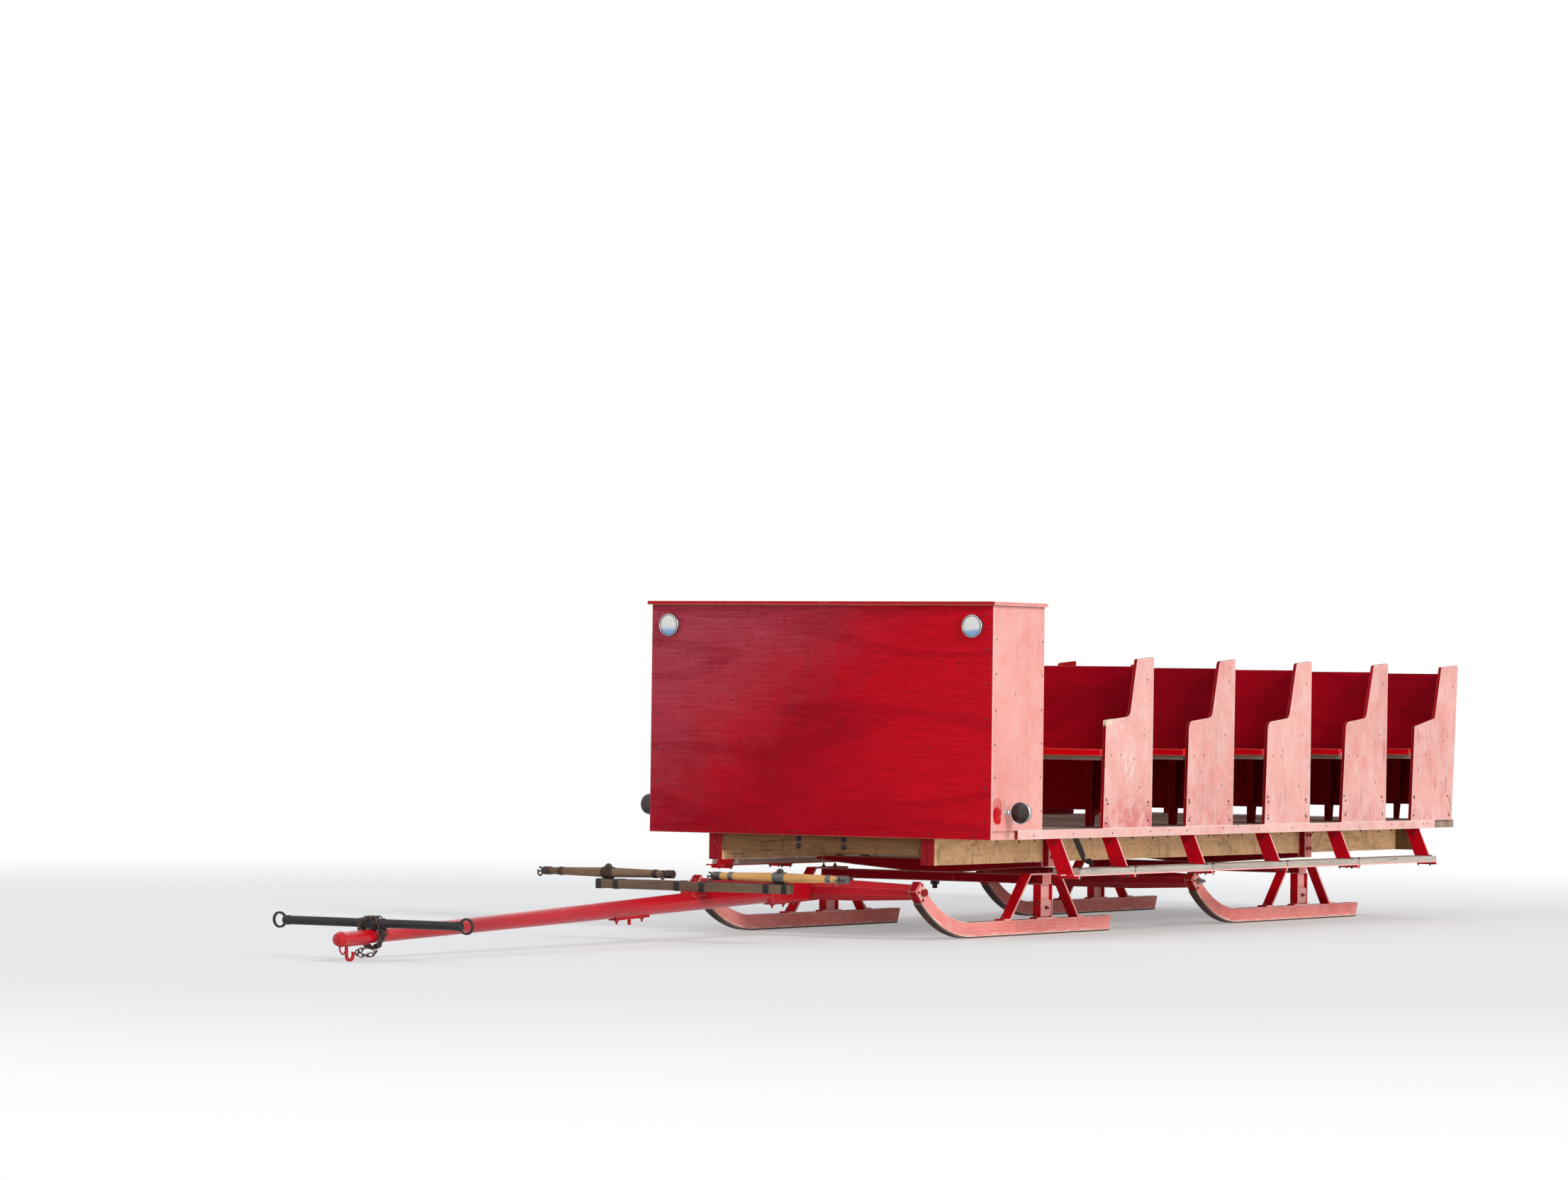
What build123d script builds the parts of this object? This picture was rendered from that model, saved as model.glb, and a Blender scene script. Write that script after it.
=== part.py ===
from build123d import *
from math import asin, atan2, cos, degrees, hypot, radians, sin
import os

# Passenger bob sleigh: a plank bed with five cross benches and a tall front box, carried on
# two short bob sleds that turn on king pins, with a pole, evener bars and a neck yoke ahead.
# Millimetres. X runs forward, Y to the sleigh's left, Z up. Until the last step x is measured from
# the front face of the front panel, y from the middle plane and z from the ground under the runners.

# Bed
BODY_WIDTH = 2110.0
BED_BOTTOM_Z = 530.0
FLOOR_THICK = 48.0
BED_LENGTH = 5650.0
PLANK_WIDTH = 139.0
PLANK_GAP = 4.0
RAIL_THICK = 20.0
RAIL_FRONT_SET = 285.0
RAIL_REAR_SET = 304.0
SILL_OUTER_Y = 694.0
SILL_WIDTH = 76.0
SILL_HEIGHT = 140.0
SILL_FRONT_SET = 30.0
SILL_REAR_SET = 88.0
SEAM_WIDTH = 3.0
SEAM_DEPTH = 4.0
CROSS_BEAM_HEIGHT = 89.0
CROSS_BEAM_THICK = 38.0
CROSS_BEAM_SETBACK = 12.0
REAR_BEAM_PROUD = 136.0

# Front box
PANEL_HEIGHT = 1220.0
PANEL_THICK = 19.0
BOX_DEPTH = 545.0
CAP_THICK = 20.0
CAP_WIDTH = 90.0
CAP_OVERHANG = 20.0
BATTEN = 38.0

# Benches
BENCH_PLY = 19.0
BENCH_HEIGHT = 926.0
BENCH_TOP_DROP = 14.0
FIRST_BENCH_SET = 1214.0
LAST_BENCH_REAR_SET = 631.0
SEAT_TOP = 424.0
SEAT_EDGE_HEIGHT = 36.0
SEAT_EDGE_THICK = 19.0
BEARER_HEIGHT = 40.0
BEARER_DEPTH = 89.0
BEARER_SET = 24.0
BACK_GAP = 90.0
BACK_TOP_DROP = 52.0
BACK_LEAN = 100.0
BACK_TOP_INSET = 70.0
LEG_Y = 780.0
LEG_THICK = 38.0
LEG_DEPTH = 89.0

# Bob sleds
FRONT_PIN_SET = 1240.0
REAR_PIN_REAR_SET = 1340.0
RUNNER_OUTER_Y = 700.0
RUNNER_THICK = 48.0
RUNNER_HEIGHT = 83.0
SHOE_THICK = 8.0
RUNNER_BEND_R = 823.0
RUNNER_BEND_AHEAD = 812.0
NOSE_ANGLE = 46.0
SHOE_NOSE_SET = 88.0
RUNNER_TAIL = 736.0
TAIL_CUT = 30.0
ROLLER_NOSE_SET = 45.0
ROLLER_MID = 104.0
ROLLER_END = 78.0
ROLLER_MID_LENGTH = 620.0
ROLLER_END_PLAY = 1.0
JOURNAL_R = 12.0
JOURNAL_PROUD = 16.0
PIN_CLEAR = 0.05
SEAT_CLEAR = 0.3
NOSE_PLATE = 84.0
NOSE_PLATE_THICK = 6.0
POST_DEPTH = 130.0
POST_PLATE = 8.0
POST_FOOT_LENGTH = 200.0
BEAM_BOTTOM_Z = 270.0
BEAM_HEIGHT = 50.0
BEAM_DEPTH = 92.0
TRUSS_THICK = 9.0
TRUSS_WIDTH = 60.0
TRUSS_TOP_AHEAD = 190.0
TRUSS_TOP_BEHIND = 146.0
TRUSS_FOOT_AHEAD = 400.0
TRUSS_FOOT_BEHIND = 340.0
TRUSS_FOOT_LENGTH = 70.0
KING_PIN_R = 14.0
KING_PIN_BELOW = 42.0
KING_NUT_R = 24.0
KING_NUT_HEIGHT = 20.0
BOLSTER_DEPTH = 90.0
BOLSTER_END_THICK = 27.0
BOLSTER_FLAT = 300.0
STAKE_THICK = 40.0
STAKE_DEPTH = 85.0

# Side steps
STEP_DROP = 162.0
STEP_THICK = 28.0
STEP_PROUD = 100.0
STEP_WIDTH = 168.0
STEP_BAR_THICK = 8.0
STEP_BAR_WIDTH = 40.0
STRAP_THICK = 12.0
STRAP_WIDTH = 90.0
STRAP_TOP_SET = 108.0
STRAP_LEAN = 86.0
STEP_TOE = 15.0
STEP_END_GAP = 2.0
STRAP_SETS = (780.0, 1400.0, 2300.0, 3210.0, 4120.0)
LAST_STRAP_REAR_SET = 480.0
STEP_FRONT_OVERHANG = 60.0

# Pole and evener bars, measured along the pole from the roller's axis
POLE_FLATS = 16
TREE_FLATS = 12
RING_FLATS = 24
POLE_LENGTH = 4180.0
POLE_MID_S = 1150.0
POLE_MID_R = 46.0
POLE_TIP_R = 32.0
POLE_BULB_R = 37.0
TIP_TURNS = (0, 40, 75)
POLE_BUTT_LENGTH = 420.0
BUTT_CHAMFER = 3.0
BUTT_LAP = 30.0
BUTT_STRAP_THICK = 8.0
BUTT_STRAP_WIDTH = 60.0
BUTT_STRAP_LENGTH = 380.0
HOOK_S = 4070.0
HOOK_BEND_R = 26.0
HOOK_ROD = 12.0
HOOK_DROP = 76.0
HOOK_TAIL = 150.0
HOOK_TIP = 12.0
EVENER_S = 1100.0
EVENER_HALF = 580.0
EVENER_THICK = 45.0
EVENER_WIDTH = 95.0
EVENER_END_WIDTH = 64.0
EVENER_BOLT_R = 10.0
EVENER_BOLT_Y = 520.0
SADDLE_THICK = 8.0
SADDLE_LENGTH = 130.0
SADDLE_WIDTH = 76.0
WASHER_R = 24.0
WASHER_HEIGHT = 6.0
BOLT_HEAD_R = 18.0
BOLT_HEAD_HEIGHT = 12.0
SINGLETREE_HALF = 400.0
SINGLETREE_R = 25.0
SINGLETREE_END_R = 17.0
FERRULE_R = 28.0
FERRULE_HALF = 32.0
TIP_FERRULE_R = 20.0
TIP_FERRULE_LENGTH = 45.0
TRACE_EYE_R = 11.0
TRACE_EYE_REACH = 42.0
TRACE_EYE_PLATE = 8.0
TRACE_EYE_OUTER = 22.0
UNDER_IRON_S = 1700.0
UNDER_IRON_LENGTH = 300.0
UNDER_IRON_THICK = 10.0
UNDER_IRON_WIDTH = 50.0
UNDER_BOLT_R = 9.0
UNDER_BOLT_DROP = 30.0
YOKE_S = 3890.0
YOKE_HALF = 510.0
YOKE_R = 21.0
YOKE_FOOT_HEIGHT = 6.0
YOKE_FOOT_HALF = 30.0
YOKE_RING_R = 52.0
YOKE_RING_ROD_R = 6.0
END_RING_R = 34.0
END_RING_ROD_R = 5.0

# Lamps
HEADLAMP_R = 61.5
HEADLAMP_DEPTH = 24.0
HEADLAMP_SIDE_SET = 117.0
HEADLAMP_TOP_SET = 109.0
SIDE_LAMP_R = 59.0
SIDE_LAMP_DEPTH = 48.0
SIDE_LAMP_SET = 185.0
SIDE_LAMP_RISE = 143.0
SIDE_LAMP_STANDOFF = 35.0
LAMP_SHELL = 4.0
LAMP_BACK_SHARE = 0.55
LAMP_WAIST_SHARE = 0.6
LENS_THICK = 5.0
STUD_HALF = 8.0

# Heights and faces that several pieces share
HALF_WIDTH = BODY_WIDTH / 2
FLOOR_REAR_X = -BED_LENGTH
FLOOR_TOP_Z = BED_BOTTOM_Z + FLOOR_THICK
FLOOR_HALF = HALF_WIDTH - RAIL_THICK
BOX_TOP_Z = BED_BOTTOM_Z + PANEL_HEIGHT
SILL_BOTTOM_Z = BED_BOTTOM_Z - SILL_HEIGHT
SILL_INNER_Y = SILL_OUTER_Y - SILL_WIDTH
SILL_REAR_X = FLOOR_REAR_X + SILL_REAR_SET
BEAM_TOP_Z = BEAM_BOTTOM_Z + BEAM_HEIGHT
RUNNER_INNER_Y = RUNNER_OUTER_Y - RUNNER_THICK
RUNNER_MID_Y = RUNNER_OUTER_Y - RUNNER_THICK / 2
BENCH_INNER_Y = HALF_WIDTH - BENCH_PLY

# One row per bench, front to rear: shift from the even spacing, depth on the floor, how far the front
# edge rakes back up to the arm, how far the rear edge leans back up to the top, height of the arm's
# front, its rise to the rear, width of the upright at the arm and at the top, and the radii of the
# arm's front corner, of the inner corner and of the top corner
BENCHES = (
    # shift, depth, rake, lean, arm, rise, waist, top, arm_r, inner_r, top_r
    (0.0, 551.0, 22.0, 6.0, 580.0, 22.0, 265.0, 190.0, 3.0, 45.0, 8.0),
    (0.0, 560.0, 26.0, 12.0, 576.0, 24.0, 272.0, 190.0, 45.0, 45.0, 25.0),
    (0.0, 566.0, 30.0, 6.0, 576.0, 24.0, 278.0, 192.0, 45.0, 45.0, 22.0),
    (-26.0, 582.0, 46.0, 11.0, 578.0, 26.0, 280.0, 190.0, 45.0, 45.0, 20.0),
    (0.0, 562.0, 38.0, 70.0, 556.0, 50.0, 290.0, 232.0, 3.0, 3.0, 3.0),
)

# One row per bob sled: name, place of its king pin
FRONT_PIN_X = -FRONT_PIN_SET
BOBS = (
    ("front_bob", FRONT_PIN_X),
    ("rear_bob", FLOOR_REAR_X + REAR_PIN_REAR_SET),
)

MIRROR = (1, -1)
nodes = {}


def block(x_low, x_high, y_low, y_high, z_low, z_high):
    """A box given by its six faces."""
    middle = ((x_low + x_high) / 2, (y_low + y_high) / 2, (z_low + z_high) / 2)
    return Pos(*middle) * Box(x_high - x_low, y_high - y_low, z_high - z_low)


def slab_xz(outline, y_low, y_high):
    """An outline in X and Z, drawn out across Y."""
    face = Plane(origin=(0, y_high, 0), x_dir=(1, 0, 0), z_dir=(0, -1, 0)) * make_face(outline)
    return extrude(face, amount=y_high - y_low, dir=(0, -1, 0))


def slab_yz(outline, x_low, x_high):
    """An outline in Y and Z, drawn out along X."""
    face = Plane(origin=(x_low, 0, 0), x_dir=(0, 1, 0), z_dir=(1, 0, 0)) * make_face(outline)
    return extrude(face, amount=x_high - x_low, dir=(1, 0, 0))


def slab_xy(outline, z_low, z_high):
    """An outline in X and Y, drawn up along Z."""
    face = Pos(0, 0, z_low) * make_face(outline)
    return extrude(face, amount=z_high - z_low, dir=(0, 0, 1))


def closed(*points):
    """A closed line through the points."""
    return Polyline(*points, close=True)


def rod(start, end, radius):
    """A round rod from one point to another."""
    way = Vector(*end) - Vector(*start)
    return extrude(Plane(origin=start, z_dir=way) * Circle(radius), amount=way.length)


def nut(x, y, low, high, corner_r):
    """A six-sided nut or bolt head on an upright bolt."""
    return Pos(x, y, low) * extrude(RegularPolygon(corner_r, 6), amount=high - low)


def shaved(*stations, flats):
    """A bar along X shaved to flats, through sections given as place and radius; one flat looks up."""
    bar = Part()
    for (low, low_r), (high, high_r) in zip(stations, stations[1:]):
        plane = Plane(origin=(low, 0, 0), x_dir=(0, 1, 0), z_dir=(1, 0, 0))
        section = plane * RegularPolygon(low_r, flats, major_radius=False, rotation=180 / flats)
        taper = degrees(atan2(low_r - high_r, high - low))
        bar += extrude(section, amount=high - low, dir=(1, 0, 0), taper=taper)
    return bar


def ring(centre, bend_r, rod_r):
    """A ring that stands across the pole, of square rod hammered round in short flats."""
    x, y, z = centre
    plane = Plane(origin=(x - rod_r, y, z), x_dir=(0, 1, 0), z_dir=(1, 0, 0))
    outside = RegularPolygon(bend_r + rod_r, RING_FLATS, major_radius=False)
    inside = RegularPolygon(bend_r - rod_r, RING_FLATS, major_radius=False)
    return extrude(plane * (outside - inside), amount=2 * rod_r, dir=(1, 0, 0))


def flipped(solid):
    """The same piece on the other side of the middle plane."""
    return mirror(solid, about=Plane.XZ)


def both_sides(solid):
    """A left piece and its mirror image."""
    return [solid, flipped(solid)]


# Bed: crosswise planks on two long doubled sills

def floor_planks():
    pitch = PLANK_WIDTH + PLANK_GAP
    front = -PANEL_THICK
    count = int((front - FLOOR_REAR_X + PLANK_GAP) // pitch)
    first = FLOOR_REAR_X + (count - 1) * pitch
    planks = []
    for number in range(count):
        x_low = first - number * pitch
        x_high = front if number == 0 else x_low + PLANK_WIDTH
        planks.append(block(x_low, x_high, -FLOOR_HALF, FLOOR_HALF, BED_BOTTOM_Z, FLOOR_TOP_Z))
    return planks


def side_rails():
    rear = FLOOR_REAR_X + RAIL_REAR_SET
    return both_sides(block(rear, -RAIL_FRONT_SET, FLOOR_HALF, HALF_WIDTH, BED_BOTTOM_Z, FLOOR_TOP_Z))


def sills():
    """Two doubled timbers, each one solid with the seam between its halves cut in."""
    front = -SILL_FRONT_SET
    sill = block(SILL_REAR_X, front, SILL_INNER_Y, SILL_OUTER_Y, SILL_BOTTOM_Z, BED_BOTTOM_Z)
    seam_y = (SILL_INNER_Y + SILL_OUTER_Y) / 2
    low_y = seam_y - SEAM_WIDTH / 2
    high_y = seam_y + SEAM_WIDTH / 2
    sill -= block(SILL_REAR_X, front, low_y, high_y, SILL_BOTTOM_Z, SILL_BOTTOM_Z + SEAM_DEPTH)
    sill -= block(front - SEAM_DEPTH, front, low_y, high_y, SILL_BOTTOM_Z, BED_BOTTOM_Z)
    return both_sides(sill)


def cross_beams():
    """One beam between the sills behind the front panel, one across the sills' rear ends."""
    front = -SILL_FRONT_SET - CROSS_BEAM_SETBACK
    front_low = BED_BOTTOM_Z - CROSS_BEAM_HEIGHT
    rear_y = SILL_OUTER_Y + REAR_BEAM_PROUD
    return [
        block(front - CROSS_BEAM_THICK, front, -SILL_INNER_Y, SILL_INNER_Y, front_low, BED_BOTTOM_Z),
        block(SILL_REAR_X - CROSS_BEAM_THICK, SILL_REAR_X, -rear_y, rear_y, SILL_BOTTOM_Z, BED_BOTTOM_Z),
    ]


def bolsters():
    """Cross beams under the sills, thick in the middle so that the bed can rock on the bob."""
    flat = BOLSTER_FLAT / 2
    outline = closed(
        (-SILL_OUTER_Y, SILL_BOTTOM_Z),
        (-SILL_OUTER_Y, SILL_BOTTOM_Z - BOLSTER_END_THICK),
        (-flat, BEAM_TOP_Z),
        (flat, BEAM_TOP_Z),
        (SILL_OUTER_Y, SILL_BOTTOM_Z - BOLSTER_END_THICK),
        (SILL_OUTER_Y, SILL_BOTTOM_Z),
    )
    pieces = []
    for _, pin_x in BOBS:
        bolster = slab_yz(outline, pin_x - BOLSTER_DEPTH / 2, pin_x + BOLSTER_DEPTH / 2)
        bolster -= rod((pin_x, 0, BEAM_TOP_Z), (pin_x, 0, SILL_BOTTOM_Z), KING_PIN_R + PIN_CLEAR)
        pieces.append(bolster)
    return pieces


def bolster_stakes():
    low = SILL_BOTTOM_Z - BOLSTER_END_THICK
    pieces = []
    for _, pin_x in BOBS:
        near = pin_x - STAKE_DEPTH / 2
        far = pin_x + STAKE_DEPTH / 2
        stake = block(near, far, SILL_OUTER_Y, SILL_OUTER_Y + STAKE_THICK, low, BED_BOTTOM_Z)
        pieces += both_sides(stake)
    return pieces


def king_pins():
    """Bolts with a head on the bolster and a nut under the bob's beam."""
    pieces = []
    nut_top = BEAM_BOTTOM_Z - SEAT_CLEAR
    for _, pin_x in BOBS:
        pin = rod((pin_x, 0, BEAM_BOTTOM_Z - KING_PIN_BELOW), (pin_x, 0, SILL_BOTTOM_Z), KING_PIN_R)
        pin += nut(pin_x, 0, SILL_BOTTOM_Z, SILL_BOTTOM_Z + BOLT_HEAD_HEIGHT, KING_NUT_R)
        pin += nut(pin_x, 0, nut_top - KING_NUT_HEIGHT, nut_top, KING_NUT_R)
        pieces.append(pin)
    return pieces


# Side steps: straps that slant out from under the bed, two bars along them, boards between the straps

STEP_TOP_Z = BED_BOTTOM_Z - STEP_DROP
STEP_LOW_Z = STEP_TOP_Z - STEP_THICK
BAR_LOW_Z = STEP_LOW_Z - STEP_BAR_THICK
STRAP_LOW_Z = BAR_LOW_Z - STEP_TOE
STEP_OUTER_Y = HALF_WIDTH + STEP_PROUD
STEP_INNER_Y = STEP_OUTER_Y - STEP_WIDTH
STRAP_TOP_Y = HALF_WIDTH - STRAP_TOP_SET
STRAP_XS = [-place for place in STRAP_SETS] + [FLOOR_REAR_X + LAST_STRAP_REAR_SET]


def step_irons():
    """Flat straps down from the bed's edge, each with a toe that carries the two bars."""
    outer = STRAP_TOP_Y + STRAP_WIDTH
    toe_y = STEP_OUTER_Y - STEP_END_GAP
    outline = closed(
        (STRAP_TOP_Y, BED_BOTTOM_Z),
        (outer, BED_BOTTOM_Z),
        (outer + STRAP_LEAN, BAR_LOW_Z),
        (toe_y, BAR_LOW_Z),
        (toe_y, STRAP_LOW_Z),
        (STRAP_TOP_Y + STRAP_LEAN, STRAP_LOW_Z),
    )
    bar_front = STRAP_XS[0] + STEP_FRONT_OVERHANG
    bar_rear = STRAP_XS[-1] - STRAP_THICK / 2
    inner_low = STRAP_TOP_Y + STRAP_LEAN + STEP_END_GAP
    irons = block(bar_rear, bar_front, inner_low, inner_low + STEP_BAR_WIDTH, BAR_LOW_Z, STEP_LOW_Z)
    irons += block(bar_rear, bar_front, toe_y - STEP_BAR_WIDTH, toe_y, BAR_LOW_Z, STEP_LOW_Z)
    for strap_x in STRAP_XS:
        irons += slab_yz(outline, strap_x - STRAP_THICK / 2, strap_x + STRAP_THICK / 2)
    return irons


def step_boards():
    boards = []
    for front_strap, rear_strap in zip(STRAP_XS, STRAP_XS[1:]):
        front = front_strap - STRAP_THICK / 2 - STEP_END_GAP
        rear = rear_strap + STRAP_THICK / 2 + STEP_END_GAP
        boards += both_sides(block(rear, front, STEP_INNER_Y, STEP_OUTER_Y, STEP_LOW_Z, STEP_TOP_Z))
    return boards


# Front box: a full width panel, two side panels, a cap board round the top, battens in the corners

def front_panel():
    return [block(-PANEL_THICK, 0, -HALF_WIDTH, HALF_WIDTH, BED_BOTTOM_Z, BOX_TOP_Z)]


def box_sides():
    side_in = HALF_WIDTH - PANEL_THICK
    return both_sides(block(-BOX_DEPTH, -PANEL_THICK, side_in, HALF_WIDTH, FLOOR_TOP_Z, BOX_TOP_Z))


def box_cap():
    """A flat rim of three boards on top of the front and side panels."""
    outer_y = HALF_WIDTH + CAP_OVERHANG
    inner_y = outer_y - CAP_WIDTH
    high = BOX_TOP_Z + CAP_THICK
    rim = block(CAP_OVERHANG - CAP_WIDTH, CAP_OVERHANG, -outer_y, outer_y, BOX_TOP_Z, high)
    arm = block(-BOX_DEPTH, CAP_OVERHANG - CAP_WIDTH, inner_y, outer_y, BOX_TOP_Z, high)
    return [rim + arm + flipped(arm)]


def box_frame():
    """Battens in the two front corners and down the rear edges of the side panels."""
    inner = HALF_WIDTH - PANEL_THICK
    corner = block(-PANEL_THICK - BATTEN, -PANEL_THICK, inner - BATTEN, inner, FLOOR_TOP_Z, BOX_TOP_Z)
    rear = block(-BOX_DEPTH, -BOX_DEPTH + BATTEN, inner - BATTEN, inner, FLOOR_TOP_Z, BOX_TOP_Z)
    return both_sides(corner) + both_sides(rear)


# Benches: two cut-out ends, seat board with a front edge, bearer, legs, and a leaning back board

def bench_front(number):
    """Front edge of a bench, counted from 0: evenly spaced along the bed, plus its own shift."""
    pitch = (BED_LENGTH - LAST_BENCH_REAR_SET - FIRST_BENCH_SET) / (len(BENCHES) - 1)
    return -FIRST_BENCH_SET - number * pitch + BENCHES[number][0]


def round_corner(solid, x, z, radius):
    """Rounds the edge that runs across the sleigh at x and z."""
    near = [edge for edge in solid.edges().filter_by(Axis.Y)
            if hypot(edge.center().X - x, edge.center().Z - z) < 1]
    return fillet(near, radius)


def bench_end(number):
    """One end: raked front, arm rest, rounded inner corner, upright narrowing to the top."""
    _, depth, rake, lean, arm, rise, waist, top, arm_r, inner_r, top_r = BENCHES[number]
    front = bench_front(number)
    base = FLOOR_TOP_Z
    rear = front - depth
    arm_tip = (front - rake, base + arm)
    inner = (rear + waist - lean * arm / BENCH_HEIGHT, base + arm + rise)
    top_front = (rear + top - lean, base + BENCH_HEIGHT - BENCH_TOP_DROP)
    top_rear = (rear - lean, base + BENCH_HEIGHT)
    outline = closed((front, base), arm_tip, inner, top_front, top_rear, (rear, base))
    end = slab_xz(outline, BENCH_INNER_Y, HALF_WIDTH)
    end = round_corner(end, *arm_tip, arm_r)
    end = round_corner(end, *inner, inner_r)
    return round_corner(end, *top_front, top_r)


def back_face(number, height):
    """X of the back board's front face at a height over the floor."""
    _, depth, _, lean = BENCHES[number][:4]
    top = BENCH_HEIGHT - BACK_TOP_DROP
    at_top = bench_front(number) - depth - lean + BACK_TOP_INSET
    return at_top + (BACK_LEAN + lean) * (top - height) / (top - BACK_GAP)


def bench_back(number):
    """The leaning board behind the seat, from just over the floor to just below the ends' tops."""
    top = BENCH_HEIGHT - BACK_TOP_DROP
    low_x = back_face(number, BACK_GAP)
    top_x = back_face(number, top)
    low_z = FLOOR_TOP_Z + BACK_GAP
    top_z = FLOOR_TOP_Z + top
    outline = closed((low_x, low_z), (top_x, top_z), (top_x - BENCH_PLY, top_z), (low_x - BENCH_PLY, low_z))
    return slab_xz(outline, -BENCH_INNER_Y, BENCH_INNER_Y)


def bench_seat(number):
    """Seat board and its front edge strip; its rear edge is bevelled to the back board's lean."""
    front = bench_front(number)
    top = FLOOR_TOP_Z + SEAT_TOP
    low = top - BENCH_PLY
    outline = closed(
        (front, top),
        (back_face(number, SEAT_TOP), top),
        (back_face(number, SEAT_TOP - BENCH_PLY), low),
        (front - SEAT_EDGE_THICK, low),
        (front - SEAT_EDGE_THICK, top - SEAT_EDGE_HEIGHT),
        (front, top - SEAT_EDGE_HEIGHT),
    )
    return slab_xz(outline, -BENCH_INNER_Y, BENCH_INNER_Y)


def seat_bearer(number):
    """The plain timber under the front of the seat, from end to end."""
    high = FLOOR_TOP_Z + SEAT_TOP - BENCH_PLY
    front = bench_front(number) - BEARER_SET
    return block(front - BEARER_DEPTH, front, -BENCH_INNER_Y, BENCH_INNER_Y, high - BEARER_HEIGHT, high)


def bench_legs(number):
    """Two posts under the rear of the seat, their rear edges cut to the back board's lean."""
    high = SEAT_TOP - BENCH_PLY
    front = back_face(number, high) + LEG_DEPTH
    outline = closed(
        (front, FLOOR_TOP_Z),
        (back_face(number, 0), FLOOR_TOP_Z),
        (back_face(number, high), FLOOR_TOP_Z + high),
        (front, FLOOR_TOP_Z + high),
    )
    return both_sides(slab_xz(outline, LEG_Y - LEG_THICK / 2, LEG_Y + LEG_THICK / 2))


# Bob sleds: bent runners with steel shoes, posts, truss straps, a cross beam and a roller in the noses

def bent_band(pin_x, inner_r, outer_r, tail_x, tail_cut, end_angle):
    """Outline of a band that runs flat from its tail and then bends up to the nose."""
    centre_x, centre_z = bend_centre(pin_x)

    def on_bend(radius, angle):
        return (centre_x + radius * sin(radians(angle)), centre_z - radius * cos(radians(angle)))

    low = centre_z - outer_r
    high = centre_z - inner_r
    return [
        Line((tail_x, high), (tail_x + tail_cut, low)),
        Line((tail_x + tail_cut, low), (centre_x, low)),
        ThreePointArc((centre_x, low), on_bend(outer_r, end_angle / 2), on_bend(outer_r, end_angle)),
        Line(on_bend(outer_r, end_angle), on_bend(inner_r, end_angle)),
        ThreePointArc(on_bend(inner_r, end_angle), on_bend(inner_r, end_angle / 2), (centre_x, high)),
        Line((centre_x, high), (tail_x, high)),
    ]


def bend_centre(pin_x):
    """The centre that the runner's nose is bent round."""
    return (pin_x + RUNNER_BEND_AHEAD, RUNNER_BEND_R)


def roller_place(pin_x):
    """On the middle line of the bent nose, set back from its tip."""
    middle_r = RUNNER_BEND_R - (RUNNER_HEIGHT + SHOE_THICK) / 2
    turn = radians(NOSE_ANGLE) - ROLLER_NOSE_SET / middle_r
    centre_x, centre_z = bend_centre(pin_x)
    return (centre_x + middle_r * sin(turn), centre_z - middle_r * cos(turn))


def runners(pin_x):
    """Timber runners whose nose follows the bend, bored for the roller's journals."""
    band = bent_band(pin_x, RUNNER_BEND_R - RUNNER_HEIGHT, RUNNER_BEND_R - SHOE_THICK,
                     pin_x - RUNNER_TAIL, TAIL_CUT, NOSE_ANGLE)
    runner = slab_xz(band, RUNNER_INNER_Y, RUNNER_OUTER_Y)
    x, z = roller_place(pin_x)
    runner -= rod((x, RUNNER_INNER_Y, z), (x, RUNNER_OUTER_Y, z), JOURNAL_R + PIN_CLEAR)
    return both_sides(runner)


def shoes(pin_x):
    """Steel strips under the runners and up their noses, stopping short of the noses' ends."""
    end_angle = NOSE_ANGLE - degrees(SHOE_NOSE_SET / RUNNER_BEND_R)
    band = bent_band(pin_x, RUNNER_BEND_R - SHOE_THICK, RUNNER_BEND_R,
                     pin_x - RUNNER_TAIL + TAIL_CUT, 0, end_angle)
    return both_sides(slab_xz(band, RUNNER_INNER_Y, RUNNER_OUTER_Y))


def nose_irons(pin_x):
    """Bearing plates on the outer faces of the noses, square to the bend."""
    roller_x, roller_z = roller_place(pin_x)
    half = NOSE_PLATE / 2
    centre_x, centre_z = bend_centre(pin_x)
    lean = degrees(atan2(roller_x - centre_x, centre_z - roller_z))
    rim = (RUNNER_HEIGHT - SHOE_THICK) / 2
    outer = RUNNER_OUTER_Y
    plate = block(-half, half, outer, outer + NOSE_PLATE_THICK, -rim, rim)
    plate = Pos(roller_x, 0, roller_z) * Rotation(0, -lean, 0) * plate
    plate -= rod((roller_x, outer, roller_z), (roller_x, outer + NOSE_PLATE_THICK, roller_z),
                 JOURNAL_R + PIN_CLEAR)
    return both_sides(plate)


def octagon(across):
    """Corners of a bar's eight-sided section."""
    half = across / 2
    cut = half * (2 ** 0.5 - 1)
    return ((half, cut), (cut, half), (-cut, half), (-half, cut),
            (-half, -cut), (-cut, -half), (cut, -half), (half, -cut))


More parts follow.
